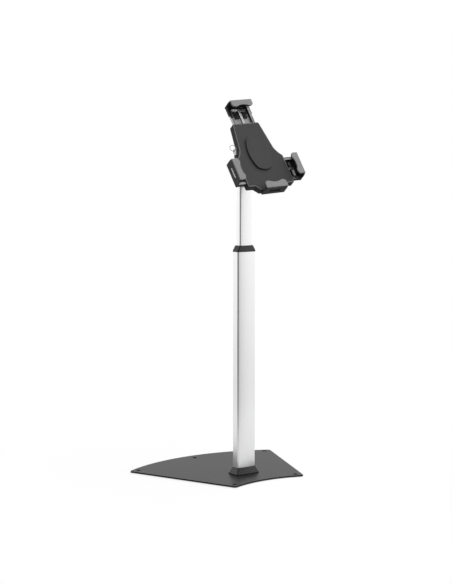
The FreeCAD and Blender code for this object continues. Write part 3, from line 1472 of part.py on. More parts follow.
def sync_pinion():
    count = round(value("pinion_teeth"))
    pitch_radius = value(PITCH_RADIUS)
    addendum = value("tooth_module")
    root_radius = pitch_radius - ROOT_DEPTH * addendum
    tip_radius = pitch_radius + TIP_HEIGHT * addendum
    half_root = value("tooth_share / 2 + root_share") * math.pi * addendum
    half_tip = value("tooth_share / 2 - tip_share") * math.pi * addendum
    inner = root_radius - value("tooth_overlap")
    gear = Part.makeCylinder(root_radius, value("gear_thickness"))
    tooth = Part.Face(Part.makePolygon([
        Vector(inner, -half_root, 0),
        Vector(tip_radius, -half_tip, 0),
        Vector(tip_radius, half_tip, 0),
        Vector(inner, half_root, 0),
        Vector(inner, -half_root, 0),
    ])).extrude(Vector(0, 0, value("gear_thickness")))
    for number in range(count):
        step = Placement(Vector(), Rotation(Vector(0, 0, 1), number * 360 / count))
        gear = gear.fuse(tooth.transformed(step.toMatrix(), True))
    bore = Part.makeCylinder(value("axle_diameter / 2 + hinge_gap"), value("gear_thickness"))
    feature = doc.addObject("Part::Feature", "sync_pinion")
    feature.Label = "sync_pinion"
    feature.Shape = gear.cut(bore).removeSplitter()
    feature.Placement = HOLDER_FRAME * at(along="-side_drop", up="-gear_bottom")
    parts.append(feature)


def pinion_axle():
    body = new_body("pinion_axle", HOLDER_FRAME * at(along="-side_drop"))
    sketch = sketch_on(body, offset="-body_thickness + cover_wall")
    circle(sketch, "0", "0", "axle_diameter")
    pad(body, sketch, "body_thickness - cover_wall - gear_bottom + gear_thickness + axle_overhang")


# Lock

LOCK_TURN = Rotation(Vector(1, 0, 0), 90)
LOCK_FRAME = HOLDER_FRAME * at("-lock_place", "-lock_front", "-lock_depth", LOCK_TURN)


def lock():
    """Barrel, core and cam, built along +Z from the lock's front into the holder."""
    ring_part("lock_barrel", LOCK_FRAME, "0", "barrel_diameter", "core_diameter + 2 * hinge_gap", "lock_length")
    core = new_body("lock_core", LOCK_FRAME)
    sketch = sketch_on(core, offset="core_recess")
    circle(sketch, "0", "0", "core_diameter")
    pad(core, sketch, "lock_length - core_recess")
    keyway = sketch_on(core, offset="core_recess")
    half = "key_blade / 2 + seat_gap"
    rectangle(keyway, f"-({half})", half, "-keyway_height / 2", "keyway_height / 2")
    pocket(core, keyway, "keyway_depth", back=True)
    cam = new_body("lock_cam", LOCK_FRAME)
    disc = sketch_on(cam, offset="lock_length + hinge_gap")
    circle(disc, "0", "0", "cam_diameter")
    pad(cam, disc, "cam_thickness")
    stub = sketch_on(cam, offset="lock_length")
    circle(stub, "0", "0", "core_diameter / 2")
    pad(cam, stub, "cam_thickness")
    crank = sketch_on(cam, offset="lock_length + cam_thickness")
    circle(crank, "cam_throw * sqrt(0.5)", "-cam_throw * sqrt(0.5)", "cam_pin")
    pad(cam, crank, "cam_pin_length")


KEY_HOLE_PLACE = "(ring_wire - key_bow_length)"


def key():
    body = new_body("key", LOCK_FRAME)
    sketch = sketch_on(body, "YZ_Plane", "-key_blade / 2")
    bow = "key_bow / 2"
    blade = "key_blade_width / 2"
    shoulder = "-key_neck - key_shoulder"
    corners = (
        (f"-{blade}", "key_depth"),
        (f"-{blade}", "-key_neck"),
        (f"-{bow}", shoulder),
        (f"-{bow}", "-key_bow_length"),
        (bow, "-key_bow_length"),
        (bow, shoulder),
        (blade, "-key_neck"),
        (blade, "key_depth"),
    )
    outline(sketch, corners, {3: ("0", "-key_bow_length - key_crown")})
    circle(sketch, "0", KEY_HOLE_PLACE, "key_hole")
    pad(body, sketch, "key_blade")


def key_ring():
    ring = doc.addObject("Part::Torus", "key_ring")
    ring.Label = "key_ring"
    bind(ring, "Radius1", "(ring_diameter - ring_wire) / 2")
    bind(ring, "Radius2", "ring_wire / 2")
    middle = at(up=f"{KEY_HOLE_PLACE} - (ring_diameter - ring_wire) / 2")
    ring.Placement = LOCK_FRAME * middle * Placement(Vector(), Rotation(Vector(1, 0, 0), 90))
    parts.append(ring)


LOCK_PINS = (
    ("-top_peg_x - pin_aside", "top_peg_y - pin_ahead"),
    ("-left_peg_x", "-lock_front - lock_length - pin_aside"),
)


def lock_plate():
    """Bar with two pegs under the channels and an upturned tab round the cam pin."""
    floor = "-plate_floor"
    top = f"({floor} + plate_sheet)"
    tab_near = "(lock_front + lock_length + cam_thickness + tab_gap)"
    tab_far = f"({tab_near} + cam_thickness)"
    body = new_body("lock_plate", HOLDER_FRAME)
    half = "plate_width / 2"
    sketch = sketch_on(body, offset=floor)
    tab_left = "-lock_place - tab_left"
    tab_right = "-lock_place + tab_right"
    path = (
        (f"-top_peg_x - {half}", "top_peg_y + plate_margin"),
        (f"-left_peg_x - {half}", f"-{tab_near} + cam_thickness"),
        (tab_left, f"-{tab_near} + cam_thickness"),
        (tab_left, f"-{tab_far}"),
        (f"-left_peg_x - {half}", f"-{tab_far}"),
        (f"-left_peg_x - {half}", "-left_peg_y - plate_margin"),
        (f"-left_peg_x + {half}", "-left_peg_y - plate_margin"),
        (f"-left_peg_x + {half}", f"-{tab_near} + tab_root"),
        (f"-top_peg_x + {half}", "top_peg_y + plate_margin"),
    )
    outline(sketch, path)
    pad(body, sketch, "plate_sheet")
    pegs = sketch_on(body, offset=top)
    circle(pegs, "-top_peg_x", "top_peg_y", "peg_diameter")
    circle(pegs, "-left_peg_x", "-left_peg_y", "peg_diameter")
    pad(body, pegs, "plate_floor - plate_sheet - channel_floor - peg_gap")
    tab = sketch_on(body, "XZ_Plane", tab_near)
    rectangle(tab, tab_left, tab_right, floor, "-lock_depth + cam_pin")
    pad(body, tab, "cam_thickness")
    slot = sketch_on(body, "XZ_Plane", tab_near)
    height = "(-lock_depth - cam_throw * sqrt(0.5))"
    room = "(cam_pin / 2 + hinge_gap)"
    left = f"{tab_left} + tab_margin"
    right = f"{tab_right} - tab_margin"
    rectangle(slot, left, right, f"{height} - {room}", f"{height} + {room}")
    pocket(body, slot, "cam_thickness", back=True)
    holes = sketch_on(body, offset=top)
    for across, along in LOCK_PINS:
        circle(holes, across, along, "cam_pin + 2 * arm_gap")
    pocket(body, holes, "plate_sheet")


def lock_pins():
    """Two pins on the rear cover that keep the lock plate square."""
    body = new_body("lock_pins", HOLDER_FRAME)
    sketch = sketch_on(body, offset="-body_thickness + cover_wall")
    for across, along in LOCK_PINS:
        circle(sketch, across, along, "cam_pin")
    pad(body, sketch, "body_thickness - cover_wall - channel_floor - pin_gap")


# Everything, from the floor up

base_plate()
foot_pads()
base_collar()
column_insert()
column_screws()
insert_screw()
lower_column()
top_collar()
clamp_boss()
clamp_stud()
pressure_pad()
clamp_knob()
upper_column()
lower_guide()
neck_casting()
neck_screws()
swivel_disc()
swivel_fork()
swivel_bolt()
tilt_bolt()
tilt_arm()
hub()
hub_screws()
rear_cover()
front_cover()
cover_screws()
rod_guides()
bottom_claw()
arm("top", TOP_FRAME, "top_reach", "top_channel_start", "top_rod_start", TOP_PEG_HOLES)
arm("right", RIGHT_FRAME, "side_reach", "side_channel_start", "side_rod_start")
arm("left", LEFT_FRAME, "side_reach", "side_channel_start", "side_rod_start", LEFT_PEG_HOLES)
rack("right_rack", RIGHT_FRAME)
rack("left_rack", LEFT_FRAME)
sync_pinion()
pinion_axle()
lock()
key()
key_ring()
lock_plate()
lock_pins()

# Checks, then one file for each part

doc.recompute()
faults = [item.Name for item in doc.Objects if "Invalid" in item.State or "Error" in item.State]
if faults:
    raise RuntimeError(f"failed features: {faults}")
for part in parts:
    if part.Shape.isNull() or not part.Shape.isValid() or not part.Shape.Solids:
        raise RuntimeError(f"{part.Label} has no valid solid")
os.makedirs("parts", exist_ok=True)
for part in parts:
    part.Shape.exportStep(f"parts/{part.Label}.step")
    print(f"{part.Label}: {len(part.Shape.Solids)} solid, {part.Shape.Volume / 1000:.1f} cm3")
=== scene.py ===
import json
import math

import bmesh
import bpy
from mathutils import Matrix, Vector


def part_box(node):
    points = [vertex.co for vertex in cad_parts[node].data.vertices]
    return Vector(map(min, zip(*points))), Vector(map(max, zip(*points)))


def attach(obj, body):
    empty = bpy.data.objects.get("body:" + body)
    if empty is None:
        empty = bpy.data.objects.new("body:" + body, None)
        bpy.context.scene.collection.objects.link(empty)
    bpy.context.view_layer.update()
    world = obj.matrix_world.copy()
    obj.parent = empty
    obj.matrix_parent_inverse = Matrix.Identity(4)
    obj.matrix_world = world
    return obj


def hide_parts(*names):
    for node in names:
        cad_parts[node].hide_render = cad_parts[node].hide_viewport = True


# Tablet floor stand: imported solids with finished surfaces, lit like a catalogue picture. Metres throughout.

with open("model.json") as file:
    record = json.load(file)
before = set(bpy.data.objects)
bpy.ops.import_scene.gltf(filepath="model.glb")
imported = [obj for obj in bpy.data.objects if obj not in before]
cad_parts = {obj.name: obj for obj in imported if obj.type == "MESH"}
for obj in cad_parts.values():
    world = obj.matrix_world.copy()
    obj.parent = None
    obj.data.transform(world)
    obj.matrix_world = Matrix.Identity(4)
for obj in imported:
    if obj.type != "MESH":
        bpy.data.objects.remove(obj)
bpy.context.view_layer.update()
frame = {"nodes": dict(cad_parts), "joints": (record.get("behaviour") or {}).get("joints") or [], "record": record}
nodes = frame["nodes"]
scene = bpy.context.scene
MM = 0.001

subparts = frame["record"]["subparts"]
slot_of = {item["node"]: item["material_slot"] for item in subparts}
bodies = frame["record"]["behaviour"]["bodies"]
body_of = {node: body for body, group in bodies.items() for node in group}


# The holder's own directions and the middle of its face, from the joints

joints = {joint["name"]: joint for joint in frame["joints"]}
UP_BODY = Vector(joints["top_arm_slide"]["axis"]).normalized()
OUT_OF_FACE = Vector(joints["holder_roll"]["axis"]).normalized()
ACROSS = UP_BODY.cross(OUT_OF_FACE).normalized()
HUB = Vector(joints["holder_roll"]["pos_m"])
HOLDER_TURN = Matrix((ACROSS, UP_BODY, OUT_OF_FACE)).transposed()
HOLDER = Matrix.Translation(HUB) @ HOLDER_TURN.to_4x4()


# Node trees

class Wiring:
    """Short calls for building one node tree."""

    def __init__(self, tree):
        self.tree = tree

    def link(self, start, end):
        self.tree.links.new(start, end)

    def add(self, kind, inputs=None, **settings):
        """A new node, with its settings, and its inputs as plain values or as outputs of other nodes."""
        node = self.tree.nodes.new(kind)
        for name, value in settings.items():
            setattr(node, name, value)
        for name, given in (inputs or {}).items():
            if isinstance(given, bpy.types.NodeSocket):
                self.link(given, node.inputs[name])
            else:
                node.inputs[name].default_value = given
        return node

    def math(self, operation, *values):
        """One step of arithmetic on numbers or on outputs of other nodes."""
        return self.add("ShaderNodeMath", dict(enumerate(values)), operation=operation).outputs["Value"]


def spread(work, given, low, high, start=0.3, end=0.7):
    """Maps the range from start to end onto the range from low to high."""
    inputs = {"Value": given, "From Min": start, "From Max": end, "To Min": low, "To Max": high}
    return work.add("ShaderNodeMapRange", inputs).outputs["Result"]


# Surfaces: each kind has its grain, its changes of tone and its changes of sheen

def new_finish(name):
    """A new material, with its tree and its shader."""
    material = bpy.data.materials.new(name)
    material.use_nodes = True
    return material, Wiring(material.node_tree), material.node_tree.nodes["Principled BSDF"]


def coordinates(work, scale=(1, 1, 1), turn=(0, 0, 0)):
    """Object coordinates, stretched along an axis for brushed and drawn surfaces."""
    place = work.add("ShaderNodeTexCoord").outputs["Object"]
    inputs = {"Vector": place, "Rotation": turn, "Scale": scale}
    return work.add("ShaderNodeMapping", inputs).outputs["Vector"]


def noise(work, place, scale, detail, roughness=0.55):
    inputs = {"Vector": place, "Scale": scale, "Detail": detail, "Roughness": roughness}
    return work.add("ShaderNodeTexNoise", inputs).outputs["Fac"]


def tint(work, share, color, change):
    """The colour, from a little darker to a little lighter as the share goes from 0 to 1."""
    shades = [tuple(min(1.0, part * factor) for part in color) for factor in (1 - change, 1 + change)]
    inputs = {"A": (*shades[0], 1), "B": (*shades[1], 1), "Factor": share}
    return work.add("ShaderNodeMix", inputs, data_type="RGBA").outputs["Result"]


def bump(work, height, depth, strength):
    inputs = {"Height": height, "Distance": depth, "Strength": strength}
    return work.add("ShaderNodeBump", inputs).outputs["Normal"]


def moulded(name, color, roughness, grain, depth, change=0.10, gloss=0.5):
    """Textured plastic, rubber or powder coat with a fine grain."""
    material, work, shader = new_finish(name)
    place = coordinates(work)
    cloud = spread(work, noise(work, place, scale=22, detail=4), low=0, high=1)
    fine = noise(work, place, scale=grain, detail=2)
    sheen = spread(work, fine, low=roughness - 0.06, high=roughness + 0.06)
    work.link(tint(work, cloud, color, change), shader.inputs["Base Color"])
    work.link(sheen, shader.inputs["Roughness"])
    work.link(bump(work, fine, depth, strength=0.6), shader.inputs["Normal"])
    shader.inputs["Specular IOR Level"].default_value = gloss
    return material


def drawn_metal(name, color, roughness, turn=(0, 0, 0), long_axis=2, change=0.05, sheen=0.05):
    """Metal with fine lines along one axis, as from drawing, rolling or brushing."""
    material, work, shader = new_finish(name)
    scale = [420, 420, 420]
    scale[long_axis] = 6
    lines = noise(work, coordinates(work, scale, turn), scale=1, detail=3)
    cloud = noise(work, coordinates(work), scale=14, detail=2)
    tone = spread(work, work.math("MULTIPLY", lines, cloud), low=0, high=1, start=0.1, end=0.4)
    work.link(tint(work, tone, color, change), shader.inputs["Base Color"])
    work.link(spread(work, lines, roughness - sheen, roughness + sheen), shader.inputs["Roughness"])
    work.link(bump(work, lines, depth=0.00002, strength=0.35), shader.inputs["Normal"])
    shader.inputs["Metallic"].default_value = 1.0
    return material


def cast_metal(name, color, roughness):
    """Blasted or plated metal with a small even grain."""
    material, work, shader = new_finish(name)
    place = coordinates(work)
    fine = noise(work, place, scale=260, detail=4, roughness=0.65)
    cloud = spread(work, noise(work, place, scale=30, detail=3), low=0, high=1)
    work.link(tint(work, cloud, color, change=0.07), shader.inputs["Base Color"])
    work.link(spread(work, fine, roughness - 0.06, roughness + 0.08), shader.inputs["Roughness"])
    work.link(bump(work, fine, depth=0.00006, strength=0.5), shader.inputs["Normal"])
    shader.inputs["Metallic"].default_value = 1.0
    return material


# Finishes of the stand. The arms' steel is brushed along the top arm, so its lines turn with the holder.

WITH_HOLDER = {"turn": HOLDER_TURN.inverted().to_euler(), "long_axis": 1}
FINISHES = {
    "plate": moulded("plate powder coat", (0.013, 0.013, 0.0135),
                     roughness=0.38, grain=900, depth=0.00002, change=0.03, gloss=0.14),
    "column": drawn_metal("anodised column", (0.93, 0.932, 0.935), roughness=0.29, change=0.01, sheen=0.02),
    "collar": moulded("black collar plastic", (0.007, 0.007, 0.0074),
                      roughness=0.16, grain=600, depth=0.00001, change=0.15, gloss=0.55),
    "inner_plastic": moulded("slide plastic", (0.55, 0.56, 0.58), roughness=0.45, grain=500, depth=0.00003),
    "screw": cast_metal("zinc plated steel", (0.62, 0.62, 0.64), roughness=0.35),
    "brass": drawn_metal("turned brass", (0.72, 0.58, 0.30), roughness=0.3),
    "neck": cast_metal("blasted casting", (0.42, 0.425, 0.43), roughness=0.42),
    "head": moulded("black head coat", (0.02, 0.02, 0.021), roughness=0.45, grain=700, depth=0.00004),
    "cover": moulded("textured cover plastic", (0.045, 0.045, 0.046),
                     roughness=0.6, grain=1500, depth=0.00008, change=0.05, gloss=0.14),
    # The cover's edge is glossier than its face, which is real sheen. It is also much lighter in colour, which is
    # a painted highlight along the face's edge
    "cover_edge": moulded("cover edge painted highlight", (0.13, 0.13, 0.132),
                          roughness=0.4, grain=1500, depth=0.00003, change=0.05, gloss=0.5),
    "claw": moulded("black claw plastic", (0.013, 0.013, 0.014),
                    roughness=0.42, grain=900, depth=0.00004, change=0.12, gloss=0.22),
    "lip_rubber": moulded("grey lip rubber", (0.2, 0.2, 0.202),
                          roughness=0.6, grain=1100, depth=0.00005, change=0.04, gloss=0.3),
    "foot_rubber": moulded("black foot rubber", (0.02, 0.02, 0.02), roughness=0.8, grain=700, depth=0.00008),
    "channel_steel": drawn_metal("channel steel", (0.5, 0.503, 0.51), roughness=0.42, **WITH_HOLDER),
    # Near-white steel for the arms' windows and the left claw's slot: painted light, standing in for a lit
    # reflection of the shaded channel steel
    "window": moulded("window steel painted light", (0.85, 0.85, 0.86),
                      roughness=0.35, grain=900, depth=0.00002, change=0.03),
    # Near-black for the grooves on the top channel's flanges: painted shade inside grooves that are not cut
    "groove": moulded("painted groove shade", (0.012, 0.012, 0.012), roughness=0.6, grain=900, depth=0.00002),
    "bright_rod": drawn_metal("polished rod", (0.8, 0.8, 0.81), roughness=0.34, change=0.02, **WITH_HOLDER),
    "key_metal": cast_metal("nickel plate", (0.5, 0.5, 0.51), roughness=0.25),
    # The lock barrel's metal is darkened almost to black: painted shade for the barrel lying in shadow below the
    # lock
    "barrel": cast_metal("lock barrel painted shade", (0.05, 0.05, 0.052), roughness=0.35),
    "nylon": moulded("natural nylon", (0.82, 0.82, 0.79), roughness=0.5, grain=400, depth=0.00003),
}
finish_of = {name: FINISHES[slot] for name, slot in slot_of.items()}
# The lock barrel takes this dark finish, its painted shade, in place of its own slot's finish
finish_of["lock_barrel"] = FINISHES["barrel"]
for name, node in nodes.items():
    node.data.materials.clear()
    node.data.materials.append(finish_of[name])


# Pieces

MERGE_GAP = 0.000004
FLAT_ANGLE = math.radians(0.6)
BEND_ANGLE = math.radians(30)
SHARP_DEGREES = 32
TUBE_SHARP_DEGREES = 40


def new_piece(name, mesh, body, slot, *stands_for):
    """Puts a finished mesh in the scene, on a body, in place of the solids that it stands for."""
    piece = bpy.data.objects.new(name, mesh)
    scene.collection.objects.link(piece)
    if stands_for:
        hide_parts(*stands_for)
    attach(piece, body)
    return piece


def smooth(mesh, sharp_degrees):
    mesh.shade_smooth()
    mesh.set_sharp_from_angle(angle=math.radians(sharp_degrees))


def merged_copy(node):
    """A solid's mesh to edit, with its loose triangles joined."""
    work = bmesh.new()
    work.from_mesh(nodes[node].data)
    bmesh.ops.remove_doubles(work, verts=work.verts, dist=MERGE_GAP)
    return work


def join_flat_faces(work):
    """Takes out the edges inside flat faces, but no seam."""
    bmesh.ops.dissolve_limit(
        work, angle_limit=FLAT_ANGLE, verts=work.verts, edges=work.edges, delimit={"SEAM"},
    )


def dressed(node, ending, work, *finishes):
    """Makes an edited copy of a solid the piece that stands for it."""
    mesh = bpy.data.meshes.new(node + ending)
    work.to_mesh(mesh)
    work.free()
    smooth(mesh, SHARP_DEGREES)
    for finish in finishes:
        mesh.materials.append(finish)
    return new_piece(node + ending, mesh, body_of[node], slot_of[node], node)


def rounded(piece, name, width, segments, **settings):
    """Rounds a piece's edges and keeps its flat faces flat."""
    bevel = piece.modifiers.new(name, "BEVEL")
    bevel.width = width
    bevel.segments = segments
    for setting, value in settings.items():
        setattr(bevel, setting, value)
    flat = piece.modifiers.new("flat faces", "WEIGHTED_NORMAL")
    flat.keep_sharp = True


# Solids whose sharp corners are rounded a little: the width of each rounding, in mm

EASED = {
    "base_plate": 0.5, "base_collar": 0.9, "top_collar": 0.7, "clamp_knob": 0.8, "clamp_boss": 0.3,
    "neck_casting": 0.8, "swivel_fork": 0.7, "tilt_arm": 0.8, "hub_plate": 0.4, "rear_cover": 0.5,
    "foot_pads": 0.4, "key": 0.25, "lock_barrel": 0.4, "tilt_nut": 0.4, "tilt_bolt": 0.3,
}
for side in ("top", "right", "left"):
    EASED[side + "_claw"] = 0.6
    EASED[side + "_pad"] = 0.3
    EASED[side + "_channel"] = 0.25
    EASED[side + "_rod"] = 0.4
EASED["bottom_claw"] = 0.6
EASED["bottom_pad"] = 0.3
for node, width in EASED.items():
    work = merged_copy(node)
    join_flat_faces(work)
    piece = dressed(node, "_eased", work, finish_of[node])
    rounded(piece, "eased corners", width * MM, segments=2, limit_method="ANGLE", angle_limit=BEND_ANGLE)


# The front cover: a wide, smooth edge round its face, in a lighter finish of its own that paints a highlight along
# it

FACE_EDGE_WIDTH = 1.3 * MM
ON_FACE_PLANE = 0.1 * MM
SAME_WAY = 0.999
CHAMFER_LEAN = (0.6, 0.8)


def split_face(work):
    """Cuts the cover down the middle. The cut stays in the ring round the oval, which can't be one face."""
    everything = work.verts[:] + work.edges[:] + work.faces[:]
    cut = bmesh.ops.bisect_plane(work, geom=everything, plane_co=HUB, plane_no=ACROSS)["geom_cut"]
    for item in cut:
        if isinstance(item, bmesh.types.BMEdge):
            item.seam = all(abs((vert.co - HUB).dot(OUT_OF_FACE)) < ON_FACE_PLANE for vert in item.verts)


def weigh_face_edges(work):
    """Gives weight to the edges where the face meets the chamfer round it, so that only they are rounded."""
    weight = work.edges.layers.float.new("bevel_weight_edge")
    low, high = CHAMFER_LEAN
    for edge in work.edges:
        leans = [face.normal.dot(OUT_OF_FACE) for face in edge.link_faces]
        between = len(leans) == 2 and max(leans) > SAME_WAY and low < min(leans) < high
        edge[weight] = 1.0 if between else 0.0


work = merged_copy("front_cover")
split_face(work)
join_flat_faces(work)
weigh_face_edges(work)
piece = dressed("front_cover", "_edged", work, finish_of["front_cover"], FINISHES["cover_edge"])
rounded(piece, "face edge", FACE_EDGE_WIDTH, segments=3,
        limit_method="WEIGHT", use_clamp_overlap=False, material=1)


# Geometry Nodes trees, each baked to a plain mesh

def new_tree(name, kinds):
    """An empty tree with named inputs, and the identifier of each input."""
    tree = bpy.data.node_groups.new(name, "GeometryNodeTree")
    tree.interface.new_socket("Geometry", in_out="OUTPUT", socket_type="NodeSocketGeometry")
    ids = {}
    for label, kind in kinds.items():
        ids[label] = tree.interface.new_socket(label, in_out="INPUT", socket_type=kind).identifier
    return tree, ids


def end_tree(work, shape, finish):
    """Ends a tree: instances made real, and the finish set."""
    real = work.add("GeometryNodeRealizeInstances", {"Geometry": shape}).outputs["Geometry"]
    painted = work.add("GeometryNodeSetMaterial", {"Geometry": real, "Material": finish})
    work.add("NodeGroupOutput", {"Geometry": painted.outputs["Geometry"]})


def baked(name, tree, ids, values):
    """Runs a tree with these inputs and gives back the plain mesh that it makes."""
    carrier = bpy.data.objects.new(name + "_tree", bpy.data.meshes.new(name + "_start"))
    scene.collection.objects.link(carrier)
    modifier = carrier.modifiers.new("tree", "NODES")
    modifier.node_group = tree
    for label, value in values.items():
        modifier[ids[label]] = value
    bpy.context.view_layer.update()
    shown = carrier.evaluated_get(bpy.context.evaluated_depsgraph_get())
    mesh = bpy.data.meshes.new_from_object(shown)
    mesh.name = name
    bpy.data.objects.remove(carrier)
    return mesh


# The two tubes: a bowed section with a wall, drawn up from the bottom to the top

CORNER_STEPS = 10
FACE_CUTS = 7
TUBE_MERGE_GAP = 0.00001


def bow(work, height, width):
    """Moves the two long faces out, most in their middle and not at all at their ends."""
    place = work.add("GeometryNodeInputPosition").outputs["Position"]
    split = work.add("ShaderNodeSeparateXYZ", {"Vector": place}).outputs
    share = work.math("DIVIDE", split["X"], work.math("DIVIDE", width, 2))
    fall = work.math("SUBTRACT", 1, work.math("MULTIPLY", share, share))
    lift = work.math("MULTIPLY", work.math("SIGN", split["Y"]), work.math("MULTIPLY", height, fall))
    return work.add("ShaderNodeCombineXYZ", {"Y": lift}).outputs["Vector"]


def outline(work, given, inset):
    """The section's outline, drawn in from the outside by a share of the wall."""
    less = work.math("MULTIPLY", given["Wall"], inset)
    both_sides = work.math("MULTIPLY", less, 2)
    width = work.math("SUBTRACT", given["Width"], both_sides)
    bows = work.math("MULTIPLY", given["Bow"], 2)
    depth = work.math("SUBTRACT", work.math("SUBTRACT", given["Depth"], both_sides), bows)
    radius = work.math("SUBTRACT", given["Corner"], less)
    box = work.add("GeometryNodeCurvePrimitiveQuadrilateral", {"Width": width, "Height": depth})
    corners = {"Curve": box.outputs["Curve"], "Count": CORNER_STEPS, "Radius": radius}
    soft_box = work.add("GeometryNodeFilletCurve", corners, mode="POLY")
    cuts = {"Curve": soft_box.outputs["Curve"], "Cuts": FACE_CUTS}
    fine = work.add("GeometryNodeSubdivideCurve", cuts).outputs["Curve"]
    bowed = {"Geometry": fine, "Offset": bow(work, given["Bow"], width)}
    return work.add("GeometryNodeSetPosition", bowed).outputs["Geometry"]


def joined(work, first, second):
    node = work.add("GeometryNodeJoinGeometry")
    work.link(first, node.inputs["Geometry"])
    work.link(second, node.inputs["Geometry"])
    return node.outputs["Geometry"]


def tube_tree():
    lengths = ("Width", "Depth", "Bow", "Corner", "Wall", "Bottom", "Top")
    kinds = dict.fromkeys(lengths, "NodeSocketFloat")
    kinds["Finish"] = "NodeSocketMaterial"
    tree, ids = new_tree("bowed tube", kinds)
    work = Wiring(tree)
    given = work.add("NodeGroupInput").outputs
    outlines = joined(work, outline(work, given, 0), outline(work, given, 1))
    ring = work.add("GeometryNodeFillCurve", {"Curve": outlines}).outputs["Mesh"]
    bottom = work.add("ShaderNodeCombineXYZ", {"Z": given["Bottom"]}).outputs["Vector"]
    lower = work.add("GeometryNodeTransform", {"Geometry": ring, "Translation": bottom}).outputs["Geometry"]
    height = work.math("SUBTRACT", given["Top"], given["Bottom"])
    rise = work.add("ShaderNodeCombineXYZ", {"Z": height}).outputs["Vector"]
    drawing = {"Mesh": lower, "Offset": rise, "Offset Scale": 1.0, "Individual": False}
    upright = work.add("GeometryNodeExtrudeMesh", drawing).outputs["Mesh"]
    underside = work.add("GeometryNodeFlipFaces", {"Mesh": lower}).outputs["Mesh"]
    closed = {"Geometry": joined(work, upright, underside), "Distance": TUBE_MERGE_GAP}
    tube = work.add("GeometryNodeMergeByDistance", closed).outputs["Geometry"]
    end_tree(work, tube, given["Finish"])
    return tree, ids


TUBE, TUBE_IDS = tube_tree()
TUBES = {
    "lower_column": {"Width": 55, "Depth": 26, "Bow": 2, "Corner": 3.5, "Wall": 2},
    "upper_column": {"Width": 38, "Depth": 19.5, "Bow": 1.2, "Corner": 3, "Wall": 1.8},
}
for node, sizes in TUBES.items():
    low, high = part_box(node)
    values = {label: size * MM for label, size in sizes.items()}
    values["Bottom"], values["Top"] = low.z, high.z
    values["Finish"] = FINISHES["column"]
    mesh = baked(node + "_tube", TUBE, TUBE_IDS, values)
    smooth(mesh, TUBE_SHARP_DEGREES)
    new_piece(node + "_tube", mesh, body_of[node], "column", node)


# Small details of the arms: rows of bars. Each arm turns, then drops, and ends at its reach in mm.

SIDE_DROP = 59.6
SIDE_REACH = 93.0
TOP_REACH = 136.5
ARMS = {
    "top_arm": (0.0, 0.0, TOP_REACH),
    "right_arm": (-math.pi / 2, SIDE_DROP, SIDE_REACH),
    "left_arm": (math.pi / 2, SIDE_DROP, SIDE_REACH),
}


def bars_tree():
    kinds = {"Count": "NodeSocketInt"}
    kinds.update(dict.fromkeys(("First", "Step", "Size"), "NodeSocketVector"))
    kinds["Finish"] = "NodeSocketMaterial"
    tree, ids = new_tree("row of bars", kinds)
    work = Wiring(tree)
    given = work.add("NodeGroupInput").outputs
    spots = {"Count": given["Count"], "Start Location": given["First"], "Offset": given["Step"]}
    line = work.add("GeometryNodeMeshLine", spots, mode="OFFSET").outputs["Mesh"]
    bar = work.add("GeometryNodeMeshCube", {"Size": given["Size"]}).outputs["Mesh"]
    row = work.add("GeometryNodeInstanceOnPoints", {"Points": line, "Instance": bar})
    end_tree(work, row.outputs["Instances"], given["Finish"])
    return tree, ids


BARS, BARS_IDS = bars_tree()


def on_arm(name, body, node, finish, first, size, count=1, step=(0, 0, 0)):
    """Bars on an arm, in mm: across it, along it (0 at its end, less inward), and out of the face."""
    values = {"Count": count, "Finish": FINISHES[finish]}
    for label, triple in (("First", first), ("Step", step), ("Size", size)):
        values[label] = [part * MM for part in triple]
    mesh = baked(name, BARS, BARS_IDS, values)
    turn, drop, reach = ARMS[body]
    arm = Matrix.Translation((0, -drop * MM, 0)) @ Matrix.Rotation(turn, 4, "Z")
    mesh.transform(HOLDER @ arm @ Matrix.Translation((0, reach * MM, 0)))
    new_piece(name, mesh, body, slot_of[node])


# Each arm's window strip sits on one side only and is painted light: a light patch standing in for a lit
# reflection in the channel
for body, side in (("top_arm", -1), ("right_arm", 1), ("left_arm", -1)):
    channel = body.replace("arm", "channel")
    on_arm(body + "_window", body, channel, "window", (11.6 * side, -13, -7.7), (16.6, 5, 3.6))
    on_arm(body + "_ledge", body, channel, "channel_steel", (0, -5.9, -6.35), (33, 0.8, 0.2))
# Grooves along the top channel's flanges, drawn as thin near-black bars: painted shade
for name, side in (("left", -1), ("right", 1)):
    on_arm("top_flange_lines_" + name, "top_arm", "top_channel", "groove",
           (29.4 * side, -68, -3.5), (0.45, 60, 0.12), count=3, step=(-1.5 * side, 0, 0))
# A thin black sheet over the left flange only: painted shade where that flange lies in shadow
on_arm("top_left_flange_shade", "top_arm", "top_claw", "claw", (-28.7, -22.5, -3.38), (7, 30, 0.16))
# A black block beside the claw's own fingers, on the left only: a painted reflection of the black claw foot in the
# channel steel
on_arm("top_finger_dark_reflection", "top_arm", "top_claw", "claw", (-21.5, -22, -8.1), (9, 13, 2.9))
# The plate in the left claw's slot has the window finish, so it is painted light, lighter than its steel
on_arm("left_slot_plate", "left_arm", "left_channel", "window", (2.6, -0.9, 2), (23.5, 0.4, 6.4))


# Floor: pale and matt, with a glow that makes it white to the camera and a little less in reflections

FLOOR_REACH = 0.6
SEEN_GLOW = 0.965
MIRRORED_GLOW = 0.75
SEEN_SHARE = 0.75


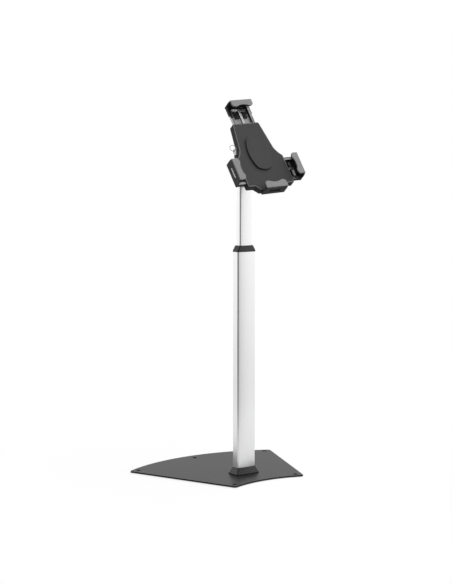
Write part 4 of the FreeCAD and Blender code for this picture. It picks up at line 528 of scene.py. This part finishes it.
def floor_finish():
    material, work, shader = new_finish("pale floor")
    shader.inputs["Base Color"].default_value = (0.82, 0.82, 0.82, 1)
    shader.inputs["Roughness"].default_value = 0.9
    path = work.add("ShaderNodeLightPath").outputs
    strength = work.math("MULTIPLY_ADD", path["Is Camera Ray"], SEEN_GLOW - MIRRORED_GLOW, MIRRORED_GLOW)
    glow = work.add("ShaderNodeEmission", {"Strength": strength}).outputs["Emission"]
    share = work.math("MULTIPLY_ADD", path["Is Camera Ray"], SEEN_SHARE, path["Is Glossy Ray"])
    mix = work.add("ShaderNodeMixShader", {0: share, 1: shader.outputs["BSDF"], 2: glow})
    surface = material.node_tree.nodes["Material Output"].inputs["Surface"]
    work.link(mix.outputs["Shader"], surface)
    return material


def studio_floor():
    corners = [(x * FLOOR_REACH, y * FLOOR_REACH, 0) for x, y in ((-1, -1), (1, -1), (1, 1), (-1, 1))]
    mesh = bpy.data.meshes.new("studio_floor")
    mesh.from_pydata(corners, [], [(0, 1, 2, 3)])
    mesh.materials.append(floor_finish())
    floor = bpy.data.objects.new("studio_floor", mesh)
    scene.collection.objects.link(floor)


# Light: a white surround for the camera, soft light from above on the right, two lamps at the sides

SOFT_SIDE = Vector((0.5, -0.42, 0.76)).normalized()
DARK_SIDE = Vector((-1.0, -1.0, 0.0)).normalized()
LIGHT_AIM = Vector((0, 0, 0.6))


def facing(work, direction, side):
    """How far a direction points to a side, from -1 to 1."""
    inputs = {0: direction, 1: side}
    return work.add("ShaderNodeVectorMath", inputs, operation="DOT_PRODUCT").outputs["Value"]


def mirrored_room(work, direction):
    """What reflections show: a white room with one dark side, dimmer high up and underfoot."""
    height = work.add("ShaderNodeSeparateXYZ", {"Vector": direction}).outputs["Z"]
    wall = spread(work, facing(work, direction, DARK_SIDE), low=1.0, high=0.2, start=0.2, end=0.75)
    ceiling = spread(work, height, low=1.0, high=0.45, start=0.35, end=0.65)
    below = spread(work, height, low=0.45, high=1.09, start=-0.25, end=-0.09)
    return work.math("MULTIPLY", work.math("MULTIPLY", wall, ceiling), below)


def studio_world():
    world = bpy.data.worlds.new("studio")
    scene.world = world
    world.use_nodes = True
    work = Wiring(world.node_tree)
    path = work.add("ShaderNodeLightPath").outputs
    direction = work.add("ShaderNodeTexCoord").outputs["Generated"]
    soft = spread(work, facing(work, direction, SOFT_SIDE), low=0.16, high=3.2, start=0.45, end=0.95)
    room = mirrored_room(work, direction)
    unseen = work.add("ShaderNodeMix", {"A": soft, "B": room, "Factor": path["Is Glossy Ray"]})
    clear = work.math("MAXIMUM", path["Is Camera Ray"], path["Is Transmission Ray"])
    level = work.add("ShaderNodeMix", {"A": unseen.outputs["Result"], "B": 1.0, "Factor": clear})
    light = world.node_tree.nodes["Background"]
    light.inputs["Color"].default_value = (1, 1, 1, 1)
    work.link(level.outputs["Result"], light.inputs["Strength"])


def softbox(name, place, size, level):
    """An area light that adds about its level to a white surface facing it at the aim."""
    lamp = bpy.data.lights.new(name, "AREA")
    lamp.shape = "RECTANGLE"
    lamp.size, lamp.size_y = size
    toward = LIGHT_AIM - Vector(place)
    lamp.energy = level * math.pi ** 2 * toward.length ** 2
    light = bpy.data.objects.new(name, lamp)
    light.location = place
    light.rotation_euler = toward.to_track_quat("-Z", "Y").to_euler()
    scene.collection.objects.link(light)


studio_floor()
studio_world()
softbox("softbox_right", place=(2.8, 0.4, 1.6), size=(1.0, 1.6), level=0.08)
softbox("softbox_left", place=(-2.8, 0.1, 2.4), size=(2.0, 1.6), level=0.14)


# Camera: its place seen from the column's foot, with the lens given in pixels of the picture's long side

YAW = math.radians(35.96)
PITCH = math.radians(5.61)
DISTANCE = 3.5625
SIDE_STEP = 0.0452
EYE_HEIGHT = 0.8151
FOCAL_PIXELS = 1430.3
LONG_SIDE = 584

eye = bpy.data.cameras.new("camera")
eye.sensor_width = 36
eye.lens = FOCAL_PIXELS * eye.sensor_width / LONG_SIDE
camera = bpy.data.objects.new("camera", eye)
camera.location = (
    -SIDE_STEP * math.cos(YAW) - DISTANCE * math.sin(YAW),
    SIDE_STEP * math.sin(YAW) - DISTANCE * math.cos(YAW),
    EYE_HEIGHT,
)
look = Vector((math.sin(YAW) * math.cos(PITCH), math.cos(YAW) * math.cos(PITCH), -math.sin(PITCH)))
camera.rotation_euler = look.to_track_quat("-Z", "Y").to_euler()
scene.collection.objects.link(camera)
scene.camera = camera
scene.view_settings.view_transform = "Standard"
